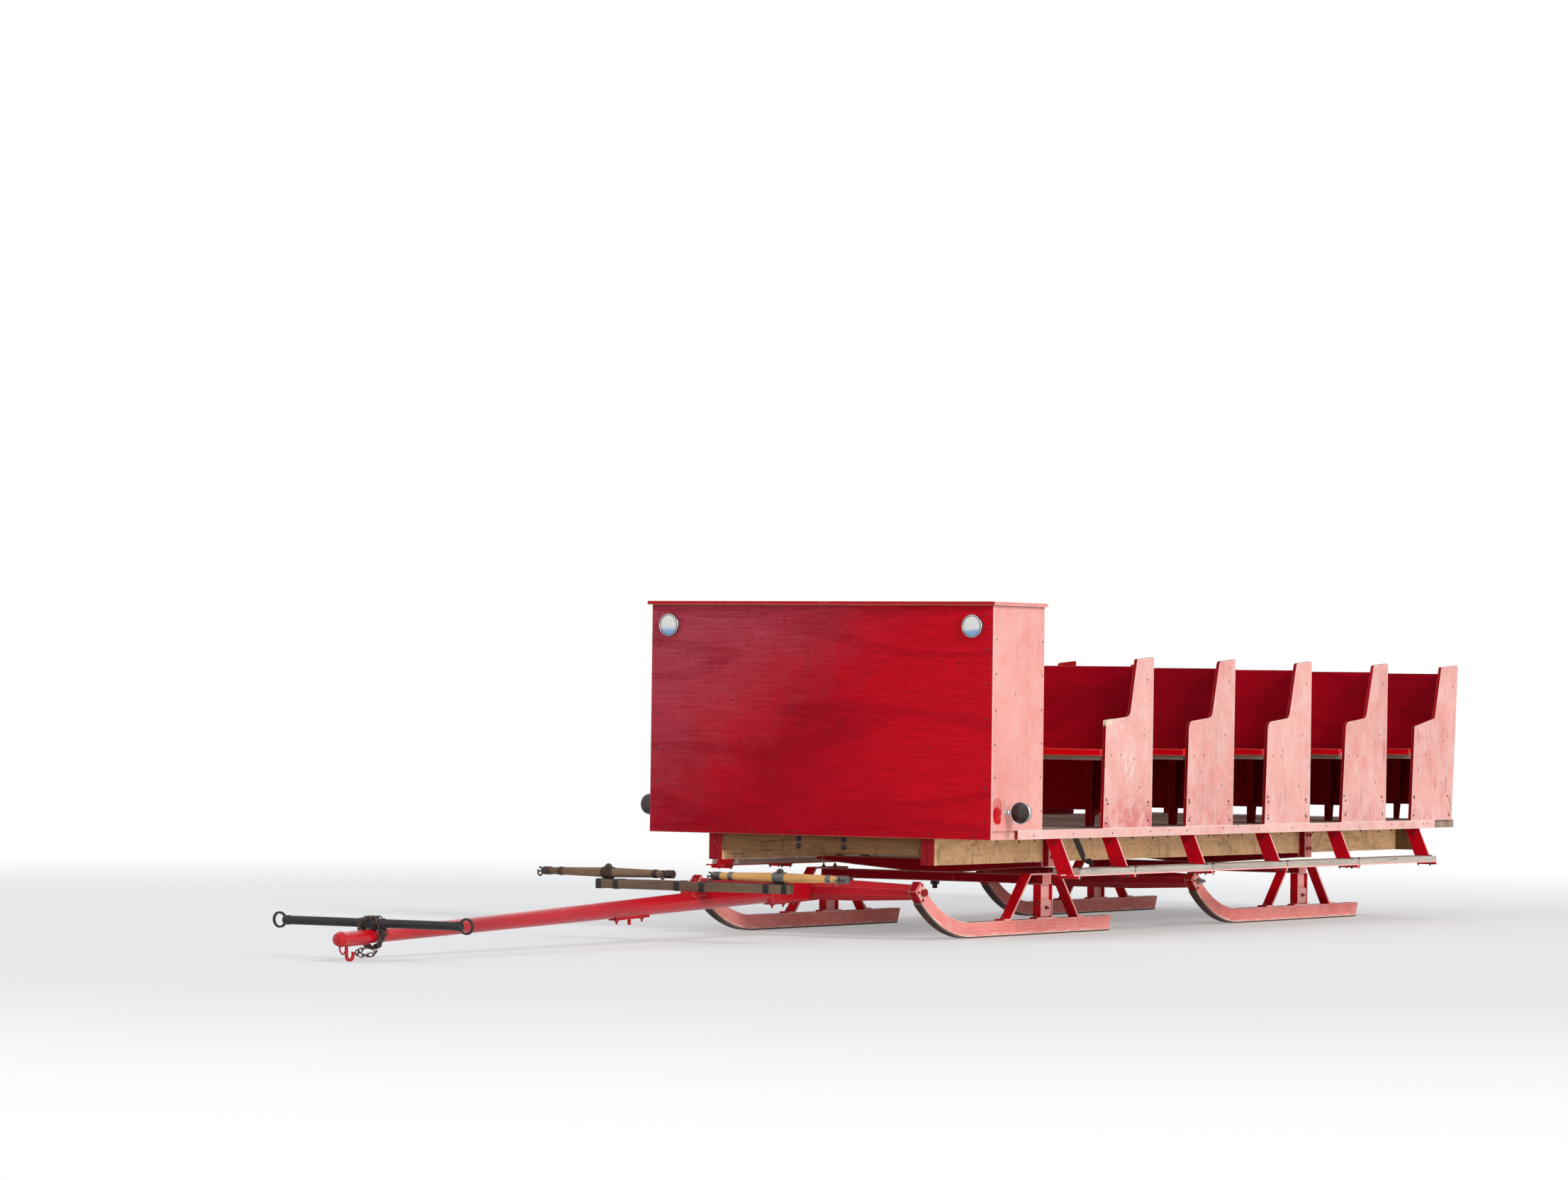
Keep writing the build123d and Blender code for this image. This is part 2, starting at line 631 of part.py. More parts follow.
def roller(pin_x, turn):
    """Eight-sided bar between the noses, tapered to its ends, with a steel journal in each nose."""
    x, z = roller_place(pin_x)
    end_y = RUNNER_INNER_Y - ROLLER_END_PLAY
    mid_y = ROLLER_MID_LENGTH / 2

    def section(y, across):
        plane = Plane(origin=(x, y, z), x_dir=(1, 0, 0), z_dir=(0, -1, 0))
        return plane * make_face(closed(*octagon(across)))

    bar = extrude(section(mid_y, ROLLER_MID), amount=2 * mid_y, dir=(0, -1, 0))
    taper = loft([section(mid_y, ROLLER_MID), section(end_y, ROLLER_END)])
    journal = rod((x, end_y, z), (x, RUNNER_OUTER_Y + NOSE_PLATE_THICK + JOURNAL_PROUD, z), JOURNAL_R)
    whole = bar + taper + flipped(taper) + journal + flipped(journal)
    return [whole.rotate(Axis((x, 0, z), (0, 1, 0)), turn)]


def posts(pin_x):
    """H section posts with a foot plate on the runner, up to the underside of the beam."""
    low = RUNNER_HEIGHT
    y_low = RUNNER_INNER_Y
    y_high = RUNNER_OUTER_Y
    half = POST_DEPTH / 2
    reach = POST_FOOT_LENGTH / 2
    foot = block(pin_x - reach, pin_x + reach, y_low, y_high, low, low + POST_PLATE)
    web = block(pin_x - half, pin_x + half, RUNNER_MID_Y - POST_PLATE / 2, RUNNER_MID_Y + POST_PLATE / 2,
                low + POST_PLATE, BEAM_BOTTOM_Z)
    post = foot + web
    for flange_low in (pin_x - half, pin_x + half - POST_PLATE):
        post += block(flange_low, flange_low + POST_PLATE, y_low, y_high, low + POST_PLATE, BEAM_BOTTOM_Z)
    return both_sides(post)


def trusses(pin_x):
    """A flat iron over each end of the beam, bent down ahead and behind to feet on the runner."""
    thick = TRUSS_THICK
    low = RUNNER_HEIGHT
    top = BEAM_TOP_Z

    def leg(way, top_reach, foot_reach):
        """Points of one leg, outer side down and inner side back up."""
        outer_top = pin_x + way * top_reach
        foot = pin_x + way * foot_reach
        toe = foot + way * TRUSS_FOOT_LENGTH
        down = [(outer_top, top + thick), (foot + way * thick, low + thick), (toe, low + thick), (toe, low)]
        back = [(foot, low), (outer_top - way * thick, top)]
        return down, back

    front_down, front_back = leg(1, TRUSS_TOP_AHEAD, TRUSS_FOOT_AHEAD)
    rear_down, rear_back = leg(-1, TRUSS_TOP_BEHIND, TRUSS_FOOT_BEHIND)
    outline = closed(*front_down, *front_back, *rear_back[::-1], *rear_down[::-1])
    mid = RUNNER_MID_Y
    return both_sides(slab_xz(outline, mid - TRUSS_WIDTH / 2, mid + TRUSS_WIDTH / 2))


def bob_beam(pin_x):
    near = pin_x - BEAM_DEPTH / 2
    far = pin_x + BEAM_DEPTH / 2
    beam = block(near, far, -RUNNER_OUTER_Y, RUNNER_OUTER_Y, BEAM_BOTTOM_Z, BEAM_TOP_Z)
    return [beam - rod((pin_x, 0, BEAM_BOTTOM_Z), (pin_x, 0, BEAM_TOP_Z), KING_PIN_R + PIN_CLEAR)]


# Pole, evener bars and neck yoke, first laid level along X from the roller's axis

ROLLER_X, ROLLER_Z = roller_place(FRONT_PIN_X)
HOOK_LOW = HOOK_BEND_R + HOOK_ROD / 2
PARK_REACH = hypot(HOOK_S, HOOK_DROP)
PARK_ANGLE = degrees(asin((ROLLER_Z - HOOK_LOW) / PARK_REACH) - atan2(HOOK_DROP, HOOK_S))
EVENER_Z = POLE_MID_R + SADDLE_THICK + SEAT_CLEAR
SINGLETREE_Z = EVENER_Z + EVENER_THICK + WASHER_HEIGHT + SEAT_CLEAR + FERRULE_R


def pole_r(s):
    """Radius of the pole's round part."""
    share = (s - POLE_MID_S) / (POLE_LENGTH - POLE_MID_S)
    return POLE_MID_R + (POLE_TIP_R - POLE_MID_R) * max(share, 0)


def on_pole(solid):
    """Tips a level piece down so that the pole's hook rests on the ground."""
    return Pos(ROLLER_X, 0, ROLLER_Z) * Rotation(0, PARK_ANGLE, 0) * solid


def pole_shaft():
    """Square butt against the roller, shaft tapered to the tip, swelling and rounded at its end."""
    half = ROLLER_MID / 2
    butt = block(half, POLE_BUTT_LENGTH, -half, half, -half, half)
    butt = chamfer(butt.faces().sort_by(Axis.X)[-1].edges(), BUTT_CHAMFER)
    bulb_s = POLE_LENGTH - POLE_BULB_R
    tip = [
        (bulb_s + POLE_BULB_R * sin(radians(turn)), POLE_BULB_R * cos(radians(turn)))
        for turn in TIP_TURNS
    ]
    shaft = butt + shaved(
        (POLE_BUTT_LENGTH - BUTT_LAP, half - BUTT_CHAMFER),
        (POLE_MID_S, POLE_MID_R),
        (bulb_s - POLE_BULB_R, POLE_TIP_R),
        *tip,
        flats=POLE_FLATS,
    )
    shaft -= rod((EVENER_S, 0, -ROLLER_MID), (EVENER_S, 0, ROLLER_MID), EVENER_BOLT_R + PIN_CLEAR)
    shaft -= rod((UNDER_IRON_S, 0, -ROLLER_MID), (UNDER_IRON_S, 0, 0), UNDER_BOLT_R + PIN_CLEAR)
    return shaft


def pole_irons(shaft):
    """Strap round the roller, saddle and bolt for the evener, iron under the pole, tip hook."""
    half = ROLLER_MID / 2
    out = half + BUTT_STRAP_THICK
    width = BUTT_STRAP_WIDTH / 2
    strap = block(-out, BUTT_STRAP_LENGTH, -width, width, -out, out)
    strap -= block(-half, BUTT_STRAP_LENGTH, -width, width, -half, half)

    reach = SADDLE_LENGTH / 2
    width = SADDLE_WIDTH / 2
    top = POLE_MID_R + SADDLE_THICK
    saddle = block(EVENER_S - reach, EVENER_S + reach, -width, width, POLE_MID_R / 2, top)
    saddle -= shaft
    bolt_top = EVENER_Z + EVENER_THICK + SEAT_CLEAR
    saddle += rod((EVENER_S, 0, -POLE_MID_R), (EVENER_S, 0, bolt_top), EVENER_BOLT_R)
    saddle += nut(EVENER_S, 0, bolt_top, bolt_top + BOLT_HEAD_HEIGHT, BOLT_HEAD_R)

    reach = UNDER_IRON_LENGTH / 2
    width = UNDER_IRON_WIDTH / 2
    low = -pole_r(UNDER_IRON_S) - UNDER_IRON_THICK
    high = low + UNDER_IRON_THICK * 2
    iron = block(UNDER_IRON_S - reach, UNDER_IRON_S + reach, -width, width, low, high)
    iron -= shaft
    iron += rod((UNDER_IRON_S, 0, low - UNDER_BOLT_DROP), (UNDER_IRON_S, 0, high), UNDER_BOLT_R)
    return [strap, saddle, iron, tip_hook(shaft)]


def tip_hook(shaft):
    """A square rod that comes down from the pole's underside and bends back into an open hook."""
    front = HOOK_S + HOOK_BEND_R
    top = -pole_r(front)
    bend_z = -HOOK_DROP
    tail_s = HOOK_S - HOOK_TAIL
    path = Line((front, 0, top), (front, 0, bend_z))
    rear = HOOK_S - HOOK_BEND_R
    path += ThreePointArc((front, 0, bend_z), (HOOK_S, 0, bend_z - HOOK_BEND_R), (rear, 0, bend_z))
    path += Line((rear, 0, bend_z), (rear, 0, bend_z + HOOK_TIP))
    hook = sweep(Plane(origin=(front, 0, top), z_dir=(0, 0, -1)) * Rectangle(HOOK_ROD, HOOK_ROD), path=path)
    half = HOOK_ROD / 2
    plate = block(tail_s, front + half, -half, half, -POLE_BULB_R, -POLE_TIP_R / 2)
    return (hook + plate) - shaft


def doubletree():
    """The evener bar, wide over the pole and narrower at its ends, with a bolt up for each singletree."""
    mid = EVENER_WIDTH / 2
    end = EVENER_END_WIDTH / 2
    half = EVENER_HALF
    outline = closed((mid, 0), (end, half), (-end, half), (-mid, 0), (-end, -half), (end, -half))
    low = EVENER_Z
    high = low + EVENER_THICK
    bar = Pos(EVENER_S, 0, 0) * slab_xy(outline, low, high)
    bar -= rod((EVENER_S, 0, low), (EVENER_S, 0, high), EVENER_BOLT_R + PIN_CLEAR)
    nut_low = SINGLETREE_Z + FERRULE_R + SEAT_CLEAR
    for side in MIRROR:
        y = side * EVENER_BOLT_Y
        bar += nut(EVENER_S, y, high, high + WASHER_HEIGHT, WASHER_R)
        bar += rod((EVENER_S, y, high), (EVENER_S, y, nut_low), EVENER_BOLT_R)
        bar += nut(EVENER_S, y, nut_low, nut_low + BOLT_HEAD_HEIGHT, BOLT_HEAD_R)
    return bar


def singletree(place_y):
    """A bar tapered both ways from a ferrule on its bolt, with a flat eye on each tip's ferrule."""
    half = SINGLETREE_HALF
    tip_low = half - TIP_FERRULE_LENGTH
    taper = ((-half, SINGLETREE_END_R), (0, SINGLETREE_R), (half, SINGLETREE_END_R))
    bar = shaved(*taper, flats=TREE_FLATS).rotate(Axis.Z, 90)
    middle = ((-FERRULE_HALF, FERRULE_R), (FERRULE_HALF, FERRULE_R))
    bar += shaved(*middle, flats=TREE_FLATS).rotate(Axis.Z, 90)
    tip = ((tip_low, TIP_FERRULE_R), (half, TIP_FERRULE_R))
    tip_ferrule = shaved(*tip, flats=TREE_FLATS).rotate(Axis.Z, 90)
    bar += tip_ferrule + flipped(tip_ferrule)
    eye_half = TRACE_EYE_PLATE / 2
    side = TRACE_EYE_OUTER
    cut = side * (2 ** 0.5 - 1)
    reach = TRACE_EYE_REACH + side
    for way in MIRROR:
        eye_y = way * (half - TIP_FERRULE_LENGTH / 2)
        outline = closed((0, side), (reach - side + cut, side), (reach, cut), (reach, -cut),
                         (reach - side + cut, -side), (0, -side))
        bar += Pos(0, eye_y, 0) * slab_xy(outline, -eye_half, eye_half)
        bar -= rod((TRACE_EYE_REACH, eye_y, -eye_half), (TRACE_EYE_REACH, eye_y, eye_half), TRACE_EYE_R)
    bar -= rod((0, 0, -FERRULE_R), (0, 0, FERRULE_R), EVENER_BOLT_R + PIN_CLEAR)
    return Pos(EVENER_S, place_y, SINGLETREE_Z) * bar


def neck_yoke():
    """A tube across the pole's end on a low foot, with a ring round the pole and one at each tip."""
    pole_top = pole_r(YOKE_S) + SEAT_CLEAR
    z = pole_top + YOKE_FOOT_HEIGHT + YOKE_R
    yoke = rod((YOKE_S, -YOKE_HALF, z), (YOKE_S, YOKE_HALF, z), YOKE_R)
    yoke += block(YOKE_S - YOKE_R, YOKE_S + YOKE_R, -YOKE_FOOT_HALF, YOKE_FOOT_HALF, pole_top, z)
    yoke += ring((YOKE_S, 0, 0), YOKE_RING_R, YOKE_RING_ROD_R)
    ring_y = YOKE_HALF + END_RING_R - END_RING_ROD_R
    for side in MIRROR:
        yoke += ring((YOKE_S, side * ring_y, z), END_RING_R, END_RING_ROD_R)
    return yoke


# Lamps: a bowl with a rolled rim and a flat lens

def lamp(radius, depth):
    """Closed bowl with a rim, and the lens set in it, of a lamp that faces +X with its back at x = 0."""
    back_r = radius * LAMP_BACK_SHARE
    waist = depth * LAMP_WAIST_SHARE
    rim_r = radius - LAMP_SHELL
    floor = depth - LENS_THICK
    rim = ((waist, radius), (depth, radius), (depth, rim_r), (floor, rim_r))
    outline = closed((0, 0), (0, back_r), *rim, (floor, 0))
    bowl = revolve(make_face(outline), axis=Axis.X)
    lens = rod((depth - LENS_THICK, 0, 0), (depth, 0, 0), radius - LAMP_SHELL)
    return bowl, lens


def lamps():
    """Two round lamps high on the front panel and two low on the box sides, on short studs."""
    head_bowl, head_lens = lamp(HEADLAMP_R, HEADLAMP_DEPTH)
    head_place = Pos(0, HALF_WIDTH - HEADLAMP_SIDE_SET, BOX_TOP_Z - HEADLAMP_TOP_SET)
    side_bowl, side_lens = lamp(SIDE_LAMP_R, SIDE_LAMP_DEPTH)
    side_z = BED_BOTTOM_Z + SIDE_LAMP_RISE
    side_y = HALF_WIDTH + SIDE_LAMP_STANDOFF + SIDE_LAMP_R
    side_place = Pos(-SIDE_LAMP_SET, side_y, side_z)
    stud_x = -SIDE_LAMP_SET + SIDE_LAMP_DEPTH * (1 + LAMP_WAIST_SHARE) / 2
    stud_end = HALF_WIDTH + SIDE_LAMP_STANDOFF + LAMP_SHELL
    stud = block(stud_x - STUD_HALF, stud_x + STUD_HALF, HALF_WIDTH, stud_end,
                 side_z - STUD_HALF, side_z + STUD_HALF)
    bowls = both_sides(head_place * head_bowl) + both_sides(side_place * side_bowl + stud)
    lenses = both_sides(head_place * head_lens) + both_sides(side_place * side_lens)
    return bowls, lenses


# Assembly

nodes["floor_planks"] = floor_planks()
nodes["side_rails"] = side_rails()
nodes["sills"] = sills()
nodes["cross_beams"] = cross_beams()
nodes["bolsters"] = bolsters()
nodes["bolster_stakes"] = bolster_stakes()
nodes["king_pins"] = king_pins()
left_irons = step_irons()
nodes["step_irons_left"] = [left_irons]
nodes["step_irons_right"] = [flipped(left_irons)]
nodes["step_boards"] = step_boards()
nodes["front_panel"] = front_panel()
nodes["box_sides"] = box_sides()
nodes["box_cap"] = box_cap()
nodes["box_frame"] = box_frame()
for number in range(len(BENCHES)):
    nodes[f"bench_{number + 1}_ends"] = both_sides(bench_end(number))
    nodes[f"bench_{number + 1}_seat"] = [bench_seat(number)]
    nodes[f"bench_{number + 1}_back"] = [bench_back(number)]
nodes["seat_bearers"] = [seat_bearer(number) for number in range(len(BENCHES))]
nodes["bench_legs"] = [leg for number in range(len(BENCHES)) for leg in bench_legs(number)]
nodes["lamp_bowls"], nodes["lamp_lenses"] = lamps()
for bob, pin_x in BOBS:
    nodes[f"{bob}_runners"] = runners(pin_x)
    nodes[f"{bob}_shoes"] = shoes(pin_x)
    nodes[f"{bob}_nose_irons"] = nose_irons(pin_x)
    nodes[f"{bob}_roller"] = roller(pin_x, PARK_ANGLE if bob == "front_bob" else 0)
    nodes[f"{bob}_posts"] = posts(pin_x)
    nodes[f"{bob}_trusses"] = trusses(pin_x)
    nodes[f"{bob}_beam"] = bob_beam(pin_x)
shaft = pole_shaft()
nodes["pole"] = [on_pole(shaft)]
nodes["pole_irons"] = [on_pole(piece) for piece in pole_irons(shaft)]
nodes["doubletree"] = [on_pole(doubletree())]
nodes["singletree_left"] = [on_pole(singletree(EVENER_BOLT_Y))]
nodes["singletree_right"] = [on_pole(singletree(-EVENER_BOLT_Y))]
nodes["neck_yoke"] = [on_pole(neck_yoke())]

# The whole sleigh moves along X so that the origin is on the ground under the middle of its length
boxes = [solid.bounding_box() for solids in nodes.values() for solid in solids]
middle_x = (min(box.min.X for box in boxes) + max(box.max.X for box in boxes)) / 2
print("shift along X", -middle_x, "parked angle", PARK_ANGLE)

os.makedirs("parts", exist_ok=True)
for name, solids in nodes.items():
    moved = [Pos(-middle_x, 0, 0) * solid for solid in solids]
    shape = moved[0] if len(moved) == 1 else Compound(children=moved)
    export_step(shape, f"parts/{name}.step")
print("nodes", len(nodes))
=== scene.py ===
# %% [markdown]
# # A bench sleigh on two bobs
# The real thing is a plank bed with five cross benches and a tall box at its front, carried by two
# short bob sleds that each turn on a king pin, with a pole, evener bars and a neck yoke ahead.
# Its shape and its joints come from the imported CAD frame. This notebook gives that frame its paint,
# timber and iron, and adds what a maker fits last: screws, nuts, washers, lamp rims, chain and straps.

# %% The frame and its box
from math import cos, pi, radians, sin
from types import SimpleNamespace

import bpy
import numpy as np
from mathutils import Matrix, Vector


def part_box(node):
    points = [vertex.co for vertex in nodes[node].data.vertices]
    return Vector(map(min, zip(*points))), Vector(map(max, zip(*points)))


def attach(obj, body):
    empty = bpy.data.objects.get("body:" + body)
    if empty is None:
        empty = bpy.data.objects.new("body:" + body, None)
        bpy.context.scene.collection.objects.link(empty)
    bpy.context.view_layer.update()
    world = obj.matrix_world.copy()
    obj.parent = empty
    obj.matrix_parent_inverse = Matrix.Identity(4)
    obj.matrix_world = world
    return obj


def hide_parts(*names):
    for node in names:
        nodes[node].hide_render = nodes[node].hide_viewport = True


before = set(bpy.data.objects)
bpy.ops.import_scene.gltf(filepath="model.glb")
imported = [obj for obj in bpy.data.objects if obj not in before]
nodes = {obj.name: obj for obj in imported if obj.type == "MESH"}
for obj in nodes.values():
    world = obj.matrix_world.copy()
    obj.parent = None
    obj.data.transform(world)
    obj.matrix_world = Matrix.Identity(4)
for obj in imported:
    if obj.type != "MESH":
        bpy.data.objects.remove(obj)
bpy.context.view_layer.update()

# %% [markdown]
# ## Places
# The bed was measured from the front face of the front panel, so places along the sleigh are easiest
# to read from there. One shift turns such a place into the frame's own X, which starts at the middle
# of the overall length. The king pins, benches and step straps follow the same few sizes.

# %% Places along the sleigh, in metres
FRONT_X, SIDE_Y, BOX_TOP_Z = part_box("front_panel")[1]
BED_LOW_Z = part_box("floor_planks")[0].z
BED_TOP_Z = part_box("floor_planks")[1].z
SILL_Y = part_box("sills")[1].y
BOX_REAR_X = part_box("box_sides")[0].x
STEP_LOW_Z, STEP_TOP_Z = (corner.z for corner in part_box("step_boards"))
RUNNER_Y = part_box("front_bob_runners")[1].y
RUNNER_TOP_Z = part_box("front_bob_posts")[0].z
PINS = {bob: sum(corner.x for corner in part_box(bob + "_beam")) / 2 for bob in ("front_bob", "rear_bob")}
BENCHES = [tuple(corner.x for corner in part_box(f"bench_{number}_ends"))[::-1] for number in range(1, 6)]
STRAPS_BACK = (0.780, 1.400, 2.300, 3.210, 4.120, 5.170)
STRAP_XS = [FRONT_X - back for back in STRAPS_BACK]
PLANK_PITCH = 0.143
SIDES = (1, -1)
chance = np.random.default_rng(12)
print("king pins", {bob: round(x, 3) for bob, x in PINS.items()})
print("benches", len(BENCHES), "straps", len(STRAP_XS))

# %% [markdown]
# ## Camera
# The photograph was taken with a long lens from ahead and to the left, hardly above the bed. The
# camera's place, turn and focal length were found by matching corners of the box, the benches and
# the runners to their pixels, so the numbers below are a fit and not a guess. Its matrix is written
# out from the three directions right, up and back.

# %% Camera
PHOTO_SIZE = (2212, 1665)
FOCAL_PX = 8103.86
CAMERA_PLACE = (26.5862, 15.8306, 1.24475)
CAMERA_YAW = radians(211.796)
CAMERA_PITCH = radians(1.0976)
CAMERA_ROLL = radians(0.72345)
SENSOR = 36.0


def camera_matrix(place, yaw, pitch, roll):
    """Ahead is (cos p cos y, cos p sin y, sin p); right and up are square to it and turned by the roll."""
    ahead = np.array([cos(pitch) * cos(yaw), cos(pitch) * sin(yaw), sin(pitch)])
    level = np.cross(ahead, [0, 0, 1])
    level /= np.linalg.norm(level)
    upright = np.cross(level, ahead)
    right = cos(roll) * level + sin(roll) * upright
    up = cos(roll) * upright - sin(roll) * level
    matrix = np.eye(4)
    matrix[:3, 0], matrix[:3, 1], matrix[:3, 2], matrix[:3, 3] = right, up, -ahead, place
    return Matrix(matrix.tolist())


lens = bpy.data.cameras.new("camera")
lens.lens = FOCAL_PX * SENSOR / PHOTO_SIZE[0]
lens.sensor_width = SENSOR
lens.clip_start = 0.5
lens.clip_end = 500
camera = bpy.data.objects.new("camera", lens)
camera.matrix_world = camera_matrix(CAMERA_PLACE, CAMERA_YAW, CAMERA_PITCH, CAMERA_ROLL)
bpy.context.scene.collection.objects.link(camera)
bpy.context.scene.camera = camera
bpy.context.scene.view_settings.view_transform = "Standard"
print("lens", round(lens.lens, 2), "mm")

# %% [markdown]
# ## Node helpers
# A material is a small circuit. Each node is put down with its settings and what feeds it in one
# call, so that a finish reads like a recipe: a number sets the socket, another node's output is
# wired to it.

# %% Node helpers
MIX_FACTOR, MIX_A, MIX_B, MIX_OUT = 0, 6, 7, 2


def feed(tree, socket, value):
    """Wires an output to a socket, or sets the socket to a plain value."""
    if isinstance(value, bpy.types.NodeSocket):
        tree.links.new(value, socket)
    else:
        socket.default_value = value


def put(tree, kind, feeds=(), **settings):
    """One shader node. feeds maps an input's name or number to a value or to another node's output."""
    made = tree.nodes.new("ShaderNode" + kind)
    for name, value in settings.items():
        setattr(made, name, value)
    for key, value in dict(feeds).items():
        feed(tree, made.inputs[key], value)
    return made


print("colours are mixed between inputs", MIX_A, "and", MIX_B)

# %% [markdown]
# ## Sums, ramps and noise
# Most of a finish is small sums: a mask times a strength, the larger of two masks, a value taken
# smoothly from one range to another. Each sum is one node, and these helpers give them short names.


# %% Sums, ramps and noise
def reckon(tree, operation, *values):
    """A Math node's output."""
    return put(tree, "Math", enumerate(values), operation=operation).outputs[0]


def times(tree, product, *others):
    """The product of all the values."""
    for other in others:
        product = reckon(tree, "MULTIPLY", product, other)
    return product


def plus(tree, value, share, added):
    """What is added, and a share of the value on top."""
    return reckon(tree, "MULTIPLY_ADD", value, share, added)


def less(tree, value, taken_off):
    """The value with another taken off."""
    return reckon(tree, "SUBTRACT", value, taken_off)


def most(tree, first, second):
    """The larger of two values, which lays one mask over another."""
    return reckon(tree, "MAXIMUM", first, second)


def apart(tree, first, second):
    """How far two values are from each other."""
    return reckon(tree, "ABSOLUTE", less(tree, first, second))


def mixed(tree, factor, first, second):
    """A colour from first at factor 0 to second at factor 1."""
    feeds = {MIX_FACTOR: factor, MIX_A: first, MIX_B: second}
    return put(tree, "Mix", feeds, data_type="RGBA").outputs[MIX_OUT]


def ramped(tree, value, low, high, to_low=0.0, to_high=1.0):
    """Value taken smoothly from low..high to to_low..to_high."""
    feeds = {"Value": value, "From Min": low, "From Max": high, "To Min": to_low, "To Max": to_high}
    return put(tree, "MapRange", feeds, interpolation_type="SMOOTHSTEP").outputs["Result"]


def clouds(tree, place, scale, detail=3.0, roughness=0.55, distortion=0.0):
    """Noise from 0 to 1 at a place; scale is in lumps a metre."""
    feeds = {"Vector": place, "Scale": scale, "Detail": detail, "Roughness": roughness,
             "Distortion": distortion}
    return put(tree, "TexNoise", feeds).outputs[0]


def stretched(tree, place, factors):
    """A place multiplied by three factors; a small factor draws a pattern out along that axis."""
    return put(tree, "VectorMath", {0: place, 1: factors}, operation="MULTIPLY").outputs["Vector"]


def from_spot(tree, place, spot, factors=(1, 0, 1)):
    """How far a place lies from a spot of X and Z, once each axis is multiplied by its factor."""
    target = tuple(np.multiply((spot[0], 0.0, spot[1]), factors))
    feeds = {0: stretched(tree, place, factors), 1: target}
    return put(tree, "VectorMath", feeds, operation="DISTANCE").outputs["Value"]


sums = bpy.types.ShaderNodeMath.bl_rna.properties["operation"].enum_items
print("sums that a Math node knows", len(sums))

# %% [markdown]
# ## Places, tints and effect groups
# An effect that several finishes share is a group of nodes. It is built once with named inputs and
# outputs, and each finish then places it with its own values.


# %% Places, tints and effect groups
def parted(tree, place):
    """The three numbers of a place, by the names X, Y and Z."""
    return put(tree, "SeparateXYZ", {0: place}).outputs


def opaque(colour, share=1.0):
    """A colour with full alpha, times one share or a share for each of its three parts."""
    return (*np.minimum(1.0, np.multiply(colour, share)).tolist(), 1.0)


def new_group(name, takes, gives):
    """An effect group with its named inputs and outputs. Returns its tree, inputs and outputs."""
    tree = bpy.data.node_groups.new(name, "ShaderNodeTree")
    for label, kind, value in takes:
        socket = tree.interface.new_socket(name=label, in_out="INPUT", socket_type="NodeSocket" + kind)
        if value is not None:
            socket.default_value = value
    for label in gives:
        tree.interface.new_socket(name=label, in_out="OUTPUT", socket_type="NodeSocketFloat")
    print(name, "gives", *gives)
    return tree, tree.nodes.new("NodeGroupInput").outputs, tree.nodes.new("NodeGroupOutput").inputs


def effect(tree, group, **feeds):
    """A group placed in a material; an underscore in a name stands for a space."""
    made = tree.nodes.new("ShaderNodeGroup")
    made.node_tree = group
    for name, value in feeds.items():
        feed(tree, made.inputs[name.replace("_", " ")], value)
    return made.outputs


print("half of a tint", opaque((0.8, 0.4, 0.2), 0.5))

# %% [markdown]
# ## Effect: grain
# Plywood and planks show two things at once: fine fibres along the board, and the broad arcs where
# the knife or saw crossed the year rings. Fibres are noise drawn out along the board. The arcs are
# level lines of a slow noise, which is how year rings meet a flat cut. Every painted or bare board
# uses this one group, fed with its own across, through and along directions.

# %% Grain
grain, taken, given = new_group(
    "board grain",
    [("Board", "Vector", None), ("Fineness", "Float", 110.0), ("Figure", "Float", 1.6),
     ("Rings", "Float", 9.0)],
    ["Fibres", "Arcs"],
)
sway = times(grain, clouds(grain, taken["Board"], 7.0, 2.0), 0.012)
swayed = {0: taken["Board"], 1: put(grain, "CombineXYZ", {"X": sway}).outputs[0]}
wavy = put(grain, "VectorMath", swayed).outputs["Vector"]
fibres = clouds(grain, stretched(grain, wavy, (1, 1, 0.045)), taken["Fineness"], 6.0, 0.66)
slow = clouds(grain, stretched(grain, taken["Board"], (1, 1, 0.16)), taken["Figure"], 2.0, 0.45)
wave = reckon(grain, "SINE", times(grain, slow, times(grain, taken["Rings"], 2 * pi)))
feed(grain, given["Fibres"], fibres)
feed(grain, given["Arcs"], plus(grain, wave, 0.5, 0.5))

# %% [markdown]
# ## Effect: worn edges
# Paint goes first where hands, boots and freight rub: on the edges. The Bevel node rounds the
# normal near an edge, so its angle to the flat normal is a mask that grows towards the edge. Noise
# breaks that mask up, because an even line would look drawn.

# %% Worn edges
wear, taken, given = new_group(
    "edge wear",
    [("Place", "Vector", None), ("Radius", "Float", 0.012), ("Breakup", "Float", 30.0),
     ("Amount", "Float", 0.5)],
    ["Mask"],
)
rounded = put(wear, "Bevel", {"Radius": taken["Radius"]}, samples=4).outputs["Normal"]
flat = put(wear, "NewGeometry").outputs["Normal"]
agreement = put(wear, "VectorMath", {0: rounded, 1: flat}, operation="DOT_PRODUCT").outputs["Value"]
broken = less(wear, clouds(wear, taken["Place"], taken["Breakup"], 5.0, 0.7), 0.62)
near = plus(wear, less(wear, 1.0, agreement), 3.4, times(wear, broken, 1.6))
feed(wear, given["Mask"], times(wear, ramped(wear, near, 0.18, 0.5), taken["Amount"]))

# %% [markdown]
# ## Effect: scuffs
# Boots and freight leave pale rubbed patches and short scratches. Two noises are multiplied: a broad
# one says where the board was knocked, a fine drawn-out one gives the strokes.

